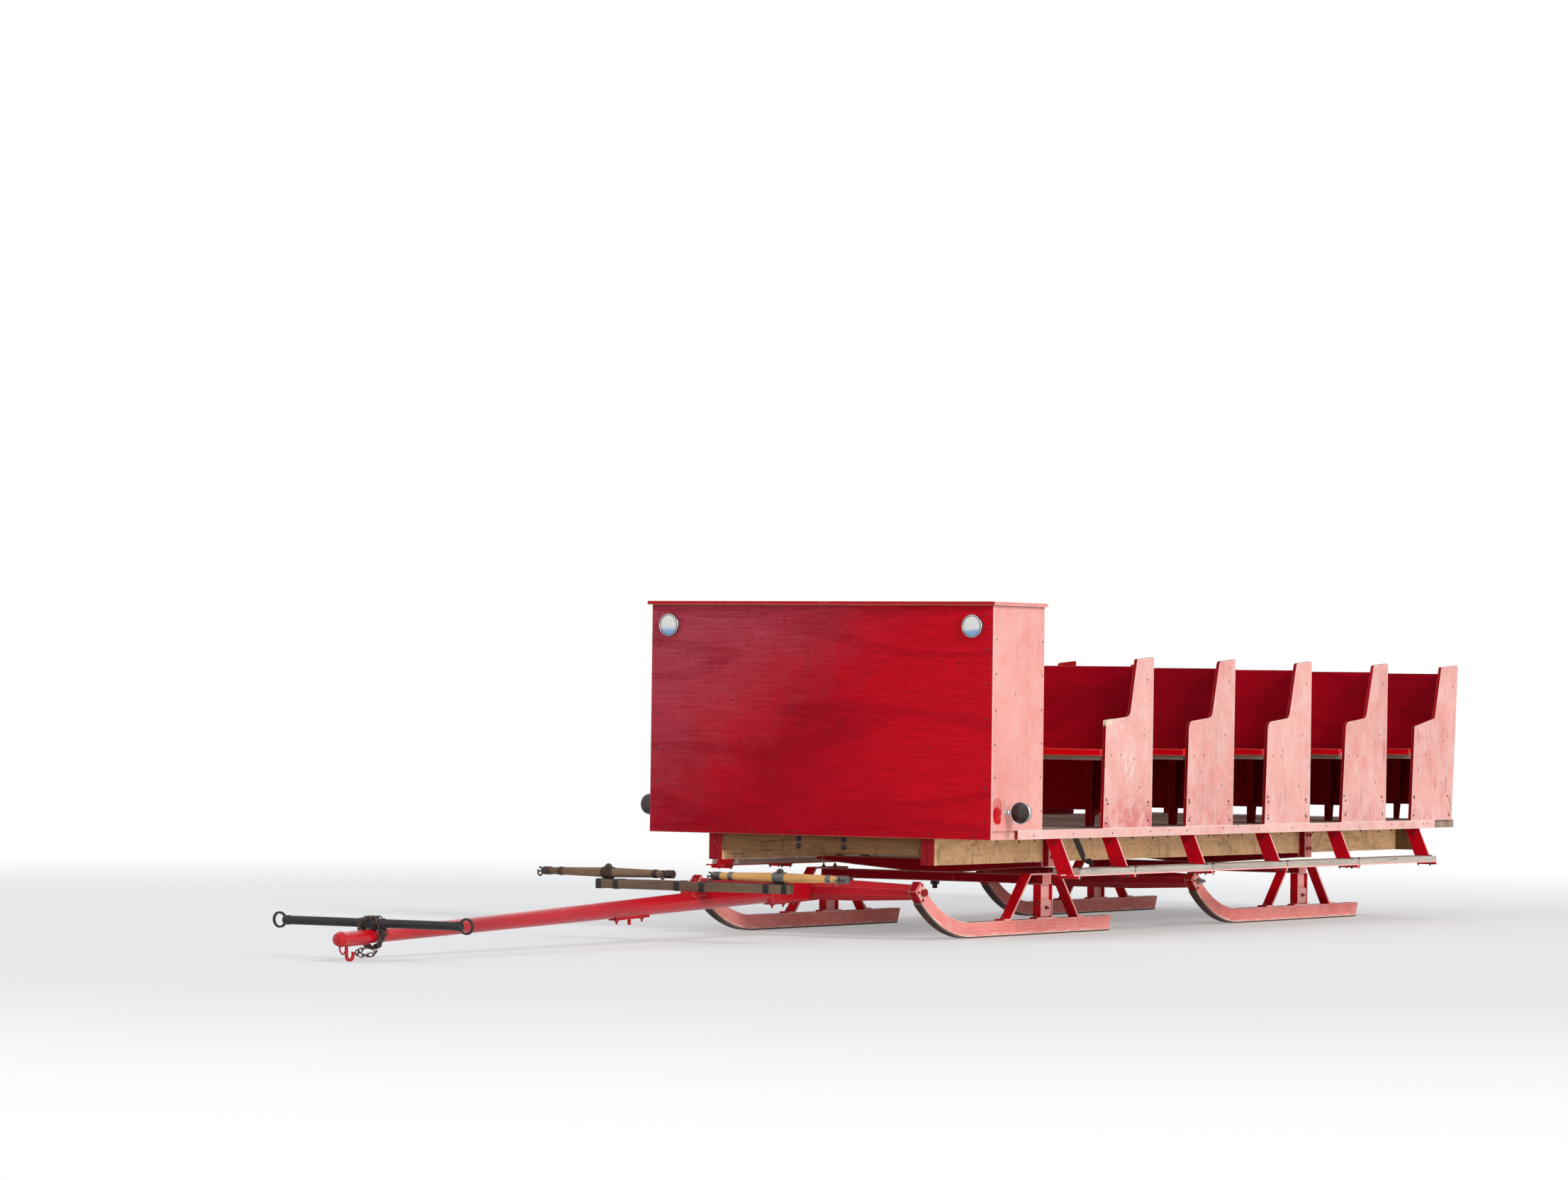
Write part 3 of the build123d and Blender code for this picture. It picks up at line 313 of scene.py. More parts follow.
# %% Scuffs
scuffs, taken, given = new_group(
    "scuffs",
    [("Place", "Vector", None), ("Spread", "Float", 3.0), ("Strokes", "Float", 45.0),
     ("Amount", "Float", 0.5)],
    ["Mask"],
)
where = ramped(scuffs, clouds(scuffs, taken["Place"], taken["Spread"], 2.0), 0.52, 0.72)
strokes = clouds(scuffs, stretched(scuffs, taken["Place"], (1, 1, 0.4)), taken["Strokes"], 5.0, 0.7, 0.6)
feed(scuffs, given["Mask"], times(scuffs, where, ramped(scuffs, strokes, 0.54, 0.66), taken["Amount"]))

# %% [markdown]
# ## Effect: painted sunlit sides
# The long sides get a chalky salmon in place of their red. This is painted sunlight: the red as it
# looks in strong sun, while the faces that look forward, backward or inward keep the plain red. The
# object's own normal tells which way a face looks, and its sign against the place across the sleigh
# tells the outside of a board from its inside.

# %% Painted sunlit sides
sunlit_sides_group, taken, given = new_group(
    "bleached sides",
    [("Inner Faces", "Float", 0.0), ("Amount", "Float", 1.0)],
    ["Mask"],
)
# Painted sunlight: a mask for the faces that look sideways, chosen by the way they face, which get the
# salmon.
seen = put(sunlit_sides_group, "TexCoord").outputs
facing = parted(sunlit_sides_group, seen["Normal"])["Y"]
outward = times(sunlit_sides_group, facing, reckon(sunlit_sides_group, "SIGN", parted(sunlit_sides_group, seen["Object"])["Y"]))
either = times(sunlit_sides_group, reckon(sunlit_sides_group, "ABSOLUTE", facing), taken["Inner Faces"])
looking = ramped(sunlit_sides_group, most(sunlit_sides_group, outward, either), 0.55, 0.85)
uneven = ramped(sunlit_sides_group, clouds(sunlit_sides_group, seen["Object"], 2.2, 4.0), 0.25, 0.6, 0.86, 1.0)
feed(sunlit_sides_group, given["Mask"], times(sunlit_sides_group, looking, uneven, taken["Amount"]))

# %% [markdown]
# ## Effect: dents and checks
# The boards are peppered with small dark dents, and dry ply opens in fine checks along its grain. A
# flat Voronoi pattern has one point in each cell; a spot round that point, kept only in some of the
# cells and drawn out along the grain, gives scattered dents. Checks are the crests of a noise that
# is drawn out so far that only thin lines are left.

# %% Dents and checks
dents, taken, given = new_group(
    "dents",
    [("Board", "Vector", None), ("Cells", "Float", 9.0), ("Size", "Float", 0.030), ("Share", "Float", 0.4)],
    ["Mask"],
)
split = parted(dents, taken["Board"])
flat_place = put(dents, "CombineXYZ", {"X": split["X"], "Y": times(dents, split["Z"], 0.4)}).outputs[0]
cells = put(dents, "TexVoronoi", {"Vector": flat_place, "Scale": taken["Cells"]}, voronoi_dimensions="2D")
own = put(dents, "SeparateColor", {0: cells.outputs["Color"]}).outputs[0]
chosen = reckon(dents, "LESS_THAN", own, taken["Share"])
in_spot = reckon(dents, "LESS_THAN", cells.outputs["Distance"], taken["Size"])
feed(dents, given["Mask"], times(dents, in_spot, chosen))

checks, taken, given = new_group(
    "checks",
    [("Board", "Vector", None), ("Fineness", "Float", 70.0), ("Amount", "Float", 0.0)],
    ["Mask"],
)
lines = clouds(checks, stretched(checks, taken["Board"], (1, 1, 0.05)), taken["Fineness"], 2.0, 0.5)
crests = ramped(checks, lines, 0.62, 0.67)
in_patches = ramped(checks, clouds(checks, taken["Board"], 5.0, 3.0), 0.45, 0.60)
feed(checks, given["Mask"], times(checks, crests, in_patches, taken["Amount"]))
print("effect groups", len(bpy.data.node_groups))

# %% [markdown]
# ## A board's own order, and a bare material
# Grain runs along a board, so each pattern needs a place in the board's own order: across the
# grain, through it, and along it. A bent runner has that order too, measured round its bend, which
# keeps its glued layers following the curve.

# %% Board places and a bare material
BEND_R = 0.823
BEND_AHEAD = 0.812


def board_place(tree, across, through, along):
    """Object coordinates put in a board's own order: across the grain, through it, and along it."""
    split = parted(tree, put(tree, "TexCoord").outputs["Object"])
    return put(tree, "CombineXYZ", {"X": split[across], "Y": split[through], "Z": split[along]}).outputs[0]


def bent_place(tree, pin_x):
    """A runner's own order: distance from the bend's centre, through, and length along the bend."""
    split = parted(tree, put(tree, "TexCoord").outputs["Object"])
    ahead = most(tree, less(tree, split["X"], pin_x + BEND_AHEAD), 0.0)
    below = less(tree, BEND_R, split["Z"])
    squares = reckon(tree, "ADD", reckon(tree, "POWER", ahead, 2.0), reckon(tree, "POWER", below, 2.0))
    round_bend = times(tree, reckon(tree, "ARCTAN2", ahead, below), BEND_R)
    along = reckon(tree, "ADD", reckon(tree, "MINIMUM", split["X"], pin_x + BEND_AHEAD), round_bend)
    feeds = {"X": reckon(tree, "SQRT", squares), "Y": split["Y"], "Z": along}
    return put(tree, "CombineXYZ", feeds).outputs[0]


def new_material(name, shine):
    """A material with one Principled shader and its specular level. Returns it, its tree and the shader."""
    made = bpy.data.materials.new(name)
    made.use_nodes = True
    tree = made.node_tree
    tree.nodes.clear()
    shader = put(tree, "BsdfPrincipled", {"Specular IOR Level": shine})
    tree.links.new(shader.outputs[0], put(tree, "OutputMaterial").inputs["Surface"])
    return made, tree, shader


def wire(tree, shader, colour, rough, height, strength, distance, softened=0.0):
    """Joins colour and roughness to the shader, and a height to its normal through a bump. A softened
    radius rounds the shading over the flats of a shaved bar."""
    feeds = {"Height": height, "Strength": strength, "Distance": distance}
    if softened:
        feeds["Normal"] = put(tree, "Bevel", {"Radius": softened}, samples=8).outputs["Normal"]
    normal = put(tree, "Bump", feeds).outputs[0]
    for name, value in (("Base Color", colour), ("Roughness", rough), ("Normal", normal)):
        feed(tree, shader.inputs[name], value)


print("bend", BEND_R, "m round, from", BEND_AHEAD, "m ahead of a king pin")

# %% [markdown]
# ## Finish: painted boards
# The body is painted plywood and timber, and one recipe covers all of it. It is built up in layers:
# red that drifts in tone with grain showing through, then a chalky salmon of painted sunlight on the
# faces that look sideways, then scuffs, rubbed edges, dents, cracks and dark joint lines, which are
# partly painted shade in the gaps. The first cell reckons what every coat follows, so that a streak
# is in the same place in all of them.

# %% Coats of paint
SUNLIT_SALMON = (0.90, 0.54, 0.49)
BARE = (0.62, 0.44, 0.30)
RUBBED = (0.94, 0.80, 0.75)
# Dark for dents, checks, cracks and layer gaps, and for the painted shade in the joints' gaps.
DARK_MARKS_AND_GAP_SHADE = (0.045, 0.010, 0.010)
SOAKED = (0.72, 0.20, 0.20, 1)
STAIN_TOP_Z, STAIN_FULL_Z = BED_TOP_Z + 0.26, BED_TOP_Z + 0.02


def board_signs(tree, board, fineness):
    """What every coat on a board follows: its places, grain, slow drift of tone, streaks and blotches."""
    place = put(tree, "TexCoord").outputs["Object"]
    lines = effect(tree, grain, Board=board, Fineness=fineness)
    fine = clouds(tree, stretched(tree, board, (1, 1, 0.12)), 3.2 * fineness, 3.0, 0.6)
    coarse = times(tree, ramped(tree, lines["Fibres"], 0.42, 0.62), 0.55)
    return SimpleNamespace(
        board=board, place=place, split=parted(tree, place), fibres=lines["Fibres"], arcs=lines["Arcs"],
        fine=fine, streak=plus(tree, ramped(tree, fine, 0.42, 0.64), 0.60, coarse),
        drift=ramped(tree, clouds(tree, place, 1.1, 4.0), 0.32, 0.68),
        blotch=ramped(tree, clouds(tree, place, 9.0, 5.0, 0.65), 0.35, 0.70),
    )


def red_tone(tree, signs, red, deep, painted_reflection, painted_light, top_shade):
    """Red between two tones. A greyer painted reflection rises to one upper corner, painted light
    brightens the red towards one side, and faces that look up may get a darker red of their own,
    painted shade beside the brighter edges."""
    paint = mixed(tree, signs.drift, opaque(red), opaque(deep))
    # Painted reflection: a greyer red that rises to one upper corner.
    if painted_reflection:
        rise = plus(tree, signs.split["Z"], 0.55, times(tree, signs.split["Y"], -0.42))
        reflection_rise = reckon(tree, "ADD", rise, times(tree, signs.blotch, 0.12))
        paint = mixed(tree, ramped(tree, reflection_rise, 0.62, 1.30, 0.0, 0.85), paint, opaque(painted_reflection))
    # Painted shade: faces that look up get a darker red than the brighter forward edges.
    if top_shade:
        upward = ramped(tree, parted(tree, put(tree, "TexCoord").outputs["Normal"])["Z"], 0.5, 0.8)
        top_shade_tone = mixed(tree, signs.blotch, opaque(top_shade), opaque(top_shade, 0.72))
        paint = mixed(tree, upward, paint, top_shade_tone)
    # Painted light: the red grows brighter towards the sleigh's left side.
    if painted_light:
        paint = mixed(tree, ramped(tree, signs.split["Y"], -0.1, 0.95, 0.0, 0.8), paint, opaque(painted_light))
    thin = plus(tree, ramped(tree, signs.arcs, 0.62, 0.95), 0.20, times(tree, signs.streak, 0.50))
    return mixed(tree, thin, paint, opaque(deep, 0.55))


def sunlit_tone(tree, signs, sunlit_red, mottled, stained):
    """The red as it looks in strong sun, a chalky salmon: painted sunlight. Arcs, streaks and smudges
    are shares of it that keep more red than green and blue, and water has stained it up from the bed."""
    tone = mixed(tree, signs.blotch, opaque(sunlit_red, (1.0, 1.10, 1.12)), opaque(sunlit_red, (0.97, 0.76, 0.74)))
    smudges = clouds(tree, stretched(tree, signs.board, (1, 1, 0.35)), 16.0, 5.0, 0.7)
    for shown, kept in (
        (ramped(tree, signs.arcs, 0.70, 0.96, 0.0, 0.30 * mottled), (0.90, 0.66, 0.64)),
        (times(tree, signs.streak, 0.58 * mottled), (0.84, 0.54, 0.52)),
        (times(tree, signs.drift, 0.30), 1.12),
        (ramped(tree, smudges, 0.58, 0.74, 0.0, 0.55 * mottled), (0.86, 0.46, 0.46)),
    ):
        tone = mixed(tree, shown, tone, opaque(sunlit_red, kept))
    if stained:
        low_down = ramped(tree, signs.split["Z"], STAIN_TOP_Z, STAIN_FULL_Z)
        soaked = ramped(tree, clouds(tree, signs.place, 7.0, 6.0, 0.7), 0.44, 0.62, 0.0, stained)
        tone = mixed(tree, times(tree, low_down, soaked), tone, SOAKED)
    return tone


print("stains rise", round(STAIN_TOP_Z - BED_TOP_Z, 3), "m over the bed")

# %% [markdown]
# ## Marks of one board
# Some boards have marks that the others don't: beside each side lamp a round patch where the
# painted sunlight is left out, so that the plain red shows as the lamp's painted shadow, a crack
# behind it, a patch rubbed pale on the first bench end and a splintered corner on its arm. Each is
# a distance from a spot, made ragged by noise.

# %% Marks of one board
LAMP_SHADOW_X, LAMP_SHADOW_Z = FRONT_X - 0.064, BED_LOW_Z + 0.126
LAMP_SHADOW_ROUNDS = ((0.0, 0.052, 1.0), (0.035, 0.062, 0.45))
LAMP_SHADOW_EDGE = 0.012
CRACK_X, CRACK_Z = FRONT_X - 0.135, BED_LOW_Z + 0.160
CRACK_HALF_LONG, CRACK_HALF_WIDE = 0.085, 0.0022
FRESH_WOOD, FRESH_SHADE = (0.92, 0.80, 0.60, 1), (0.80, 0.62, 0.42, 1)
LAYER_THICK = 0.0188
PALE_EDGE_FROM, PALE_EDGE_FULL = 0.812, 0.826
PALE_EDGE = (1.0, 0.80, 0.74, 1)
SEAM_HALF = 0.0016


def painted_lamp_shadow(tree, signs, sunlit_mask):
    """The painted sunlight mask with round patches taken out of it, which paints the side lamp's shadow; each
    has a rise, a radius and a strength.
    """
    lobes = times(tree, less(tree, clouds(tree, signs.place, 18.0, 3.0), 0.5), 0.035)
    for rise, reach, kept in LAMP_SHADOW_ROUNDS:
        off = reckon(tree, "ADD", from_spot(tree, signs.place, (LAMP_SHADOW_X, LAMP_SHADOW_Z + rise)), lobes)
        lamp_shadowed = ramped(tree, off, reach, reach - LAMP_SHADOW_EDGE, 0.0, kept)
        sunlit_mask = times(tree, sunlit_mask, less(tree, 1.0, lamp_shadowed))
    return sunlit_mask


def crack(tree, signs):
    """A thin upright crack that wanders, and closes evenly towards both ends."""
    wander = plus(tree, clouds(tree, signs.place, 9.0), 0.008, signs.split["X"])
    wide = ramped(tree, apart(tree, signs.split["Z"], CRACK_Z), CRACK_HALF_LONG, 0.0, 0.0, CRACK_HALF_WIDE)
    return reckon(tree, "LESS_THAN", apart(tree, wander, CRACK_X), wide)


def smeared(tree, signs, spot):
    """A tall patch round a spot, rubbed pale in streaks."""
    smears = clouds(tree, stretched(tree, signs.board, (1, 1, 0.45)), 34.0, 5.0, 0.7, 0.4)
    off = from_spot(tree, signs.place, spot, (1, 0, 0.6))
    return times(tree, ramped(tree, smears, 0.46, 0.62), ramped(tree, off, 0.095, 0.035, 0.0, 0.85))


def splintered(tree, signs, colour, corner):
    """A corner broken down to fresh wood, longer along the arm than it is high."""
    ragged = clouds(tree, stretched(tree, signs.board, (0.6, 1, 2.0)), 40.0, 5.0, 0.8)
    off = plus(tree, ragged, 0.13, from_spot(tree, signs.place, corner, (0.75, 0, 2.6)))
    wood = mixed(tree, signs.streak, FRESH_WOOD, FRESH_SHADE)
    return mixed(tree, ramped(tree, off, 0.160, 0.138, 0.0, 0.92), colour, wood)


def layer_gaps(tree, signs):
    """Dark gaps between the glued layers of a bent runner, open in patches."""
    layer = reckon(tree, "FRACT", reckon(tree, "DIVIDE", parted(tree, signs.board)["X"], LAYER_THICK))
    near_gap = ramped(tree, plus(tree, signs.fine, 0.20, layer), 0.21, 0.12)
    opened = ramped(tree, clouds(tree, signs.board, 11.0, 4.0, 0.7), 0.42, 0.58, 0.0, 0.65)
    return times(tree, near_gap, opened)


print("spared patches", len(LAMP_SHADOW_ROUNDS), "runner layers", LAYER_THICK, "m")

# %% [markdown]
# ## The paint itself
# The recipe takes the coats and marks above and lays them over each other. Each board names which
# way its grain runs. The red is nearly matt, because a shine would wash it out.


# %% Painted boards
def painted_board(name, axes, red, deep, sunlit_red=SUNLIT_SALMON, inner_faces=0.0, painted_sunlight=1.0, bare=BARE,
                  worn=0.7, scuffed=0.5, dented=0.2, checked=0.0, stained=0.0, mottled=1.0, painted_reflection=None,
                  painted_light=None, top_shade=None, seams=(), laminated=None, lamp_shadow_and_crack=False, chipped=None,
                  rubbed_at=None, fineness=110.0, relief=0.0012, gloss=0.55, shine=0.06, coat=0.0,
                  softened=0.0):
    """Paint on wood: red, a chalky salmon of painted sunlight on the faces that look sideways, and wear over
    both.
    """
    made, tree, shader = new_material(name, shine)
    board = board_place(tree, *axes) if laminated is None else bent_place(tree, laminated)
    signs = board_signs(tree, board, fineness)
    # Painted sunlight: the mask for the salmon on the faces that look sideways, with the side lamp's painted
    # shadow taken out where asked.
    sunlit_mask = effect(tree, sunlit_sides_group, Inner_Faces=inner_faces, Amount=painted_sunlight)["Mask"]
    if lamp_shadow_and_crack:
        sunlit_mask = painted_lamp_shadow(tree, signs, sunlit_mask)
    colour = mixed(tree, sunlit_mask, red_tone(tree, signs, red, deep, painted_reflection, painted_light, top_shade),
                   sunlit_tone(tree, signs, sunlit_red, mottled, stained))
    rubbed = effect(tree, scuffs, Place=board, Amount=scuffed)["Mask"]
    if rubbed_at:
        rubbed = most(tree, rubbed, smeared(tree, signs, rubbed_at))
    bitten = effect(tree, wear, Place=signs.place, Amount=worn)["Mask"]
    wood = mixed(tree, signs.streak, opaque(bare), opaque(bare, 0.66))
    # Worn spots show pale pink where the painted sunlight lies and bare wood elsewhere, so the wear carries
    # painted light too.
    under = mixed(tree, sunlit_mask, wood, opaque(RUBBED))
    colour = mixed(tree, bitten, mixed(tree, rubbed, colour, under), under)
    if chipped:
        colour = splintered(tree, signs, colour, chipped)
    marks = times(tree, effect(tree, dents, Board=board, Share=dented)["Mask"], 0.8)
    if checked:
        marks = most(tree, marks, effect(tree, checks, Board=board, Amount=checked)["Mask"])
    if laminated is not None:
        marks = most(tree, marks, layer_gaps(tree, signs))
        low_down = plus(tree, signs.blotch, 0.018, parted(tree, board)["X"])
        low_edge = ramped(tree, low_down, PALE_EDGE_FROM, PALE_EDGE_FULL, 0.0, 0.7)
        colour = mixed(tree, times(tree, low_edge, sunlit_mask), colour, PALE_EDGE)
    if lamp_shadow_and_crack:
        marks = most(tree, marks, times(tree, crack(tree, signs), 0.85))
    # Dark lines on the joints: partly the joint itself, partly painted shade in its gap.
    for axis, seam in seams:
        on_seam = reckon(tree, "LESS_THAN", apart(tree, signs.split[axis], seam), SEAM_HALF)
        marks = most(tree, marks, times(tree, on_seam, 0.75))
    colour = mixed(tree, marks, colour, opaque(DARK_MARKS_AND_GAP_SHADE))
    rough = plus(tree, most(tree, rubbed, bitten), 0.2, plus(tree, sunlit_mask, 0.22, gloss))
    rough = plus(tree, signs.fibres, 0.12, rough)
    height = plus(tree, signs.fibres, 0.8, times(tree, signs.arcs, 0.12))
    height = less(tree, height, times(tree, most(tree, marks, bitten), 0.5))
    wire(tree, shader, colour, rough, height, 0.55, relief, softened)
    shader.inputs["Coat Weight"].default_value = coat
    shader.inputs["Coat Roughness"].default_value = 0.22
    return made


# %% [markdown]
# ## Which paint goes where
# The reds were set side by side with the photograph's: the panel is crimson, with a greyer painted
# reflection rising to its far upper corner and painted light brightening it towards the sleigh's left;
# the seats are the purest red on their forward edges and darker on top, which is painted shade; and
# the faces that look sideways are paler, which is painted sunlight. The bench ends have three paints,
# for the first, the last and those between, which differ only in their wear.

# %% Paints
ALONG_X = ("Z", "Y", "X")
ALONG_Y = ("Z", "X", "Y")
ALONG_Z = ("X", "Y", "Z")
FLAT_ALONG_X = ("Y", "Z", "X")
FLAT_ALONG_Y = ("X", "Z", "Y")
CRIMSON = (0.58, 0.002, 0.012)
DEEP_RED = (0.25, 0.002, 0.010)
END_RED = (0.50, 0.002, 0.010)
SEAT_RED = (1.0, 0.0015, 0.010)
EDGE_WORN = (0.44, 0.085, 0.075)
PANEL_SEAM_X = FRONT_X - 0.019
ARM_CORNER = (BENCHES[0][0], BED_TOP_Z + 0.581)
RUBBED_SPOT = (FRONT_X - 1.50, BED_TOP_Z + 0.37)
# The panel's greyer upper corner is painted reflection, and its brighter left side is painted light.
panel_paint = painted_board(
    "panel paint", ALONG_Y, CRIMSON, (0.37, 0.002, 0.014), worn=0.35, scuffed=0.0, dented=0.16,
    painted_reflection=(0.42, 0.066, 0.098), painted_light=(0.70, 0.004, 0.014), seams=[("Z", BOX_TOP_Z)], fineness=90.0,
    relief=0.0024)
# The side lamp's painted shadow is a round patch where the sunlit salmon is left out.
side_paint = painted_board(
    "side paint", ALONG_Z, SEAT_RED, CRIMSON, sunlit_red=(0.91, 0.465, 0.415), worn=0.6, scuffed=0.35,
    dented=0.16, seams=[("X", PANEL_SEAM_X), ("Z", BOX_TOP_Z - 0.001)], lamp_shadow_and_crack=True)
end_paint = painted_board(
    "bench end paint", ALONG_Z, END_RED, DEEP_RED, bare=EDGE_WORN, worn=0.9, scuffed=0.7, stained=0.35,
    checked=0.3)
first_end_paint = painted_board(
    "first end paint", ALONG_Z, END_RED, DEEP_RED, bare=EDGE_WORN, worn=1.0, scuffed=1.0, stained=0.9,
    chipped=ARM_CORNER, rubbed_at=RUBBED_SPOT)
last_end_paint = painted_board(
    "last end paint", ALONG_Z, END_RED, DEEP_RED, bare=EDGE_WORN, worn=0.9, scuffed=0.4, stained=0.4,
    checked=0.6)
rail_paint = painted_board(
    "rail paint", ALONG_X, CRIMSON, DEEP_RED, sunlit_red=(0.92, 0.57, 0.52), worn=0.9, scuffed=0.1,
    dented=0.3, mottled=0.35)
# The seats' forward edges keep the brightest red and their tops a darker one: painted light and shade by
# facing.
seat_paint = painted_board(
    "seat paint", FLAT_ALONG_Y, SEAT_RED, (0.82, 0.0015, 0.010), painted_sunlight=0.0, dented=0.0, scuffed=0.25,
    worn=0.5, shine=0.02, top_shade=(0.56, 0.003, 0.012))
back_paint = painted_board(
    "back board paint", ALONG_Y, (0.50, 0.0015, 0.014), (0.34, 0.0015, 0.012), painted_sunlight=0.0,
    scuffed=0.0, worn=0.4, shine=0.03)
cap_paint = painted_board(
    "cap paint", FLAT_ALONG_Y, (0.46, 0.012, 0.022), CRIMSON, sunlit_red=(0.86, 0.36, 0.33), worn=0.8)
timber_paint = painted_board(
    "timber paint", FLAT_ALONG_Y, (0.46, 0.004, 0.012), (0.26, 0.004, 0.010), sunlit_red=(0.85, 0.34, 0.30),
    bare=(0.84, 0.46, 0.40), worn=1.0, scuffed=0.4, gloss=0.6)
roller_paint = painted_board(
    "roller paint", ALONG_Y, (0.60, 0.006, 0.014), (0.42, 0.004, 0.012), painted_sunlight=0.0,
    bare=(0.80, 0.26, 0.24), worn=0.8, scuffed=0.5, gloss=0.42, shine=0.22)
runner_paints = {
    bob: painted_board(
        bob + " runner paint", ALONG_X, (0.50, 0.004, 0.014), (0.32, 0.004, 0.012), inner_faces=1.0,
        sunlit_red=(0.98, 0.38, 0.34), worn=0.9, scuffed=0.5, dented=0.0, laminated=pin_x)
    for bob, pin_x in PINS.items()
}
pole_paint = painted_board(
    "pole paint", FLAT_ALONG_X, (0.66, 0.003, 0.012), (0.46, 0.003, 0.012), painted_sunlight=0.0,
    bare=(0.70, 0.30, 0.26), worn=0.4, scuffed=0.35, dented=0.3, gloss=0.26, shine=0.25, coat=0.25,
    softened=0.014)
print("painted boards", sum("paint" in made.name for made in bpy.data.materials))

# %% [markdown]
# ## Finish: bare timber
# The sills, floor and step boards were never painted, or lost their paint long ago. Their colour
# runs from tan where it is dry to grey where it lies in the weather, with knots, upright saw marks
# and dark checks along the grain. The sills' front ends still carry the body's paint, and the outer
# ends of the foremost floor planks carry it as the pale salmon of painted sunlight.

# %% Layers of bare timber
CHECK_DARK = (0.03, 0.022, 0.018, 1)
OLD_PAINT = (0.36, 0.014, 0.020, 1)
SHOD_DARK, SHOD_DEEP = (0.075, 0.062, 0.058, 1), (0.035, 0.030, 0.030, 1)


def saw_marks(tree, board, place, colour, tan, grey, sawn):
    """Upright saw marks in patches, water stains, dark specks and pale scrapes, one over the other."""
    teeth = clouds(tree, stretched(tree, board, (0.22, 1, 1)), 150.0, 3.0, 0.6)
    saw = ramped(tree, teeth, 0.52, 0.64, 0.0, sawn)
    patchy = ramped(tree, clouds(tree, place, 6.0, 4.0), 0.38, 0.62, 0.30, 1.0)
    stain = clouds(tree, stretched(tree, board, (0.6, 1, 0.8)), 9.0, 7.0, 0.72, 1.2)
    specks = clouds(tree, stretched(tree, board, (0.6, 1, 0.5)), 70.0, 4.0, 0.7)
    scrape = clouds(tree, stretched(tree, board, (1, 1, 0.7)), 14.0, 5.0, 0.65, 2.5)
    for shown, tone in (
        (times(tree, saw, patchy), opaque(tan, 0.45)),
        (ramped(tree, stain, 0.50, 0.66, 0.0, 0.6), opaque(tan, 0.32)),
        (ramped(tree, specks, 0.60, 0.68, 0.0, 0.5), opaque(tan, 0.25)),
        (ramped(tree, scrape, 0.56, 0.66, 0.0, 0.55), opaque(grey, 1.05)),
    ):
        colour = mixed(tree, shown, colour, tone)
    return colour


def own_tone(tree, board, colour, grey, pitch, first):
    """Each plank a little greyer or not, by a random number that its place in the row picks."""
    number = reckon(tree, "DIVIDE", less(tree, parted(tree, board)["X"], first), pitch)
    feeds = {"W": reckon(tree, "FLOOR", number)}
    own = put(tree, "TexWhiteNoise", feeds, noise_dimensions="1D").outputs["Value"]
    return mixed(tree, times(tree, own, 0.45), colour, opaque(grey, 0.45))


def painted_end(tree, seen, colour, start_x, end_tone, side_faces_only):
    """Old paint on all that lies ahead of a ragged line; it may keep to the faces that look sideways."""
    ragged = plus(tree, clouds(tree, seen["Object"], 40.0), 0.006, parted(tree, seen["Object"])["X"])
    ahead = reckon(tree, "GREATER_THAN", ragged, start_x)
    across = reckon(tree, "ABSOLUTE", parted(tree, seen["Normal"])["Y"])
    shown = times(tree, ahead, reckon(tree, "GREATER_THAN", across, side_faces_only - 0.5))
    thin = ramped(tree, clouds(tree, seen["Object"], 30.0, 5.0, 0.7), 0.30, 0.40, 0.7, 1.0)
    return mixed(tree, times(tree, shown, thin), colour, opaque(end_tone))


print("old paint", OLD_PAINT[:3])


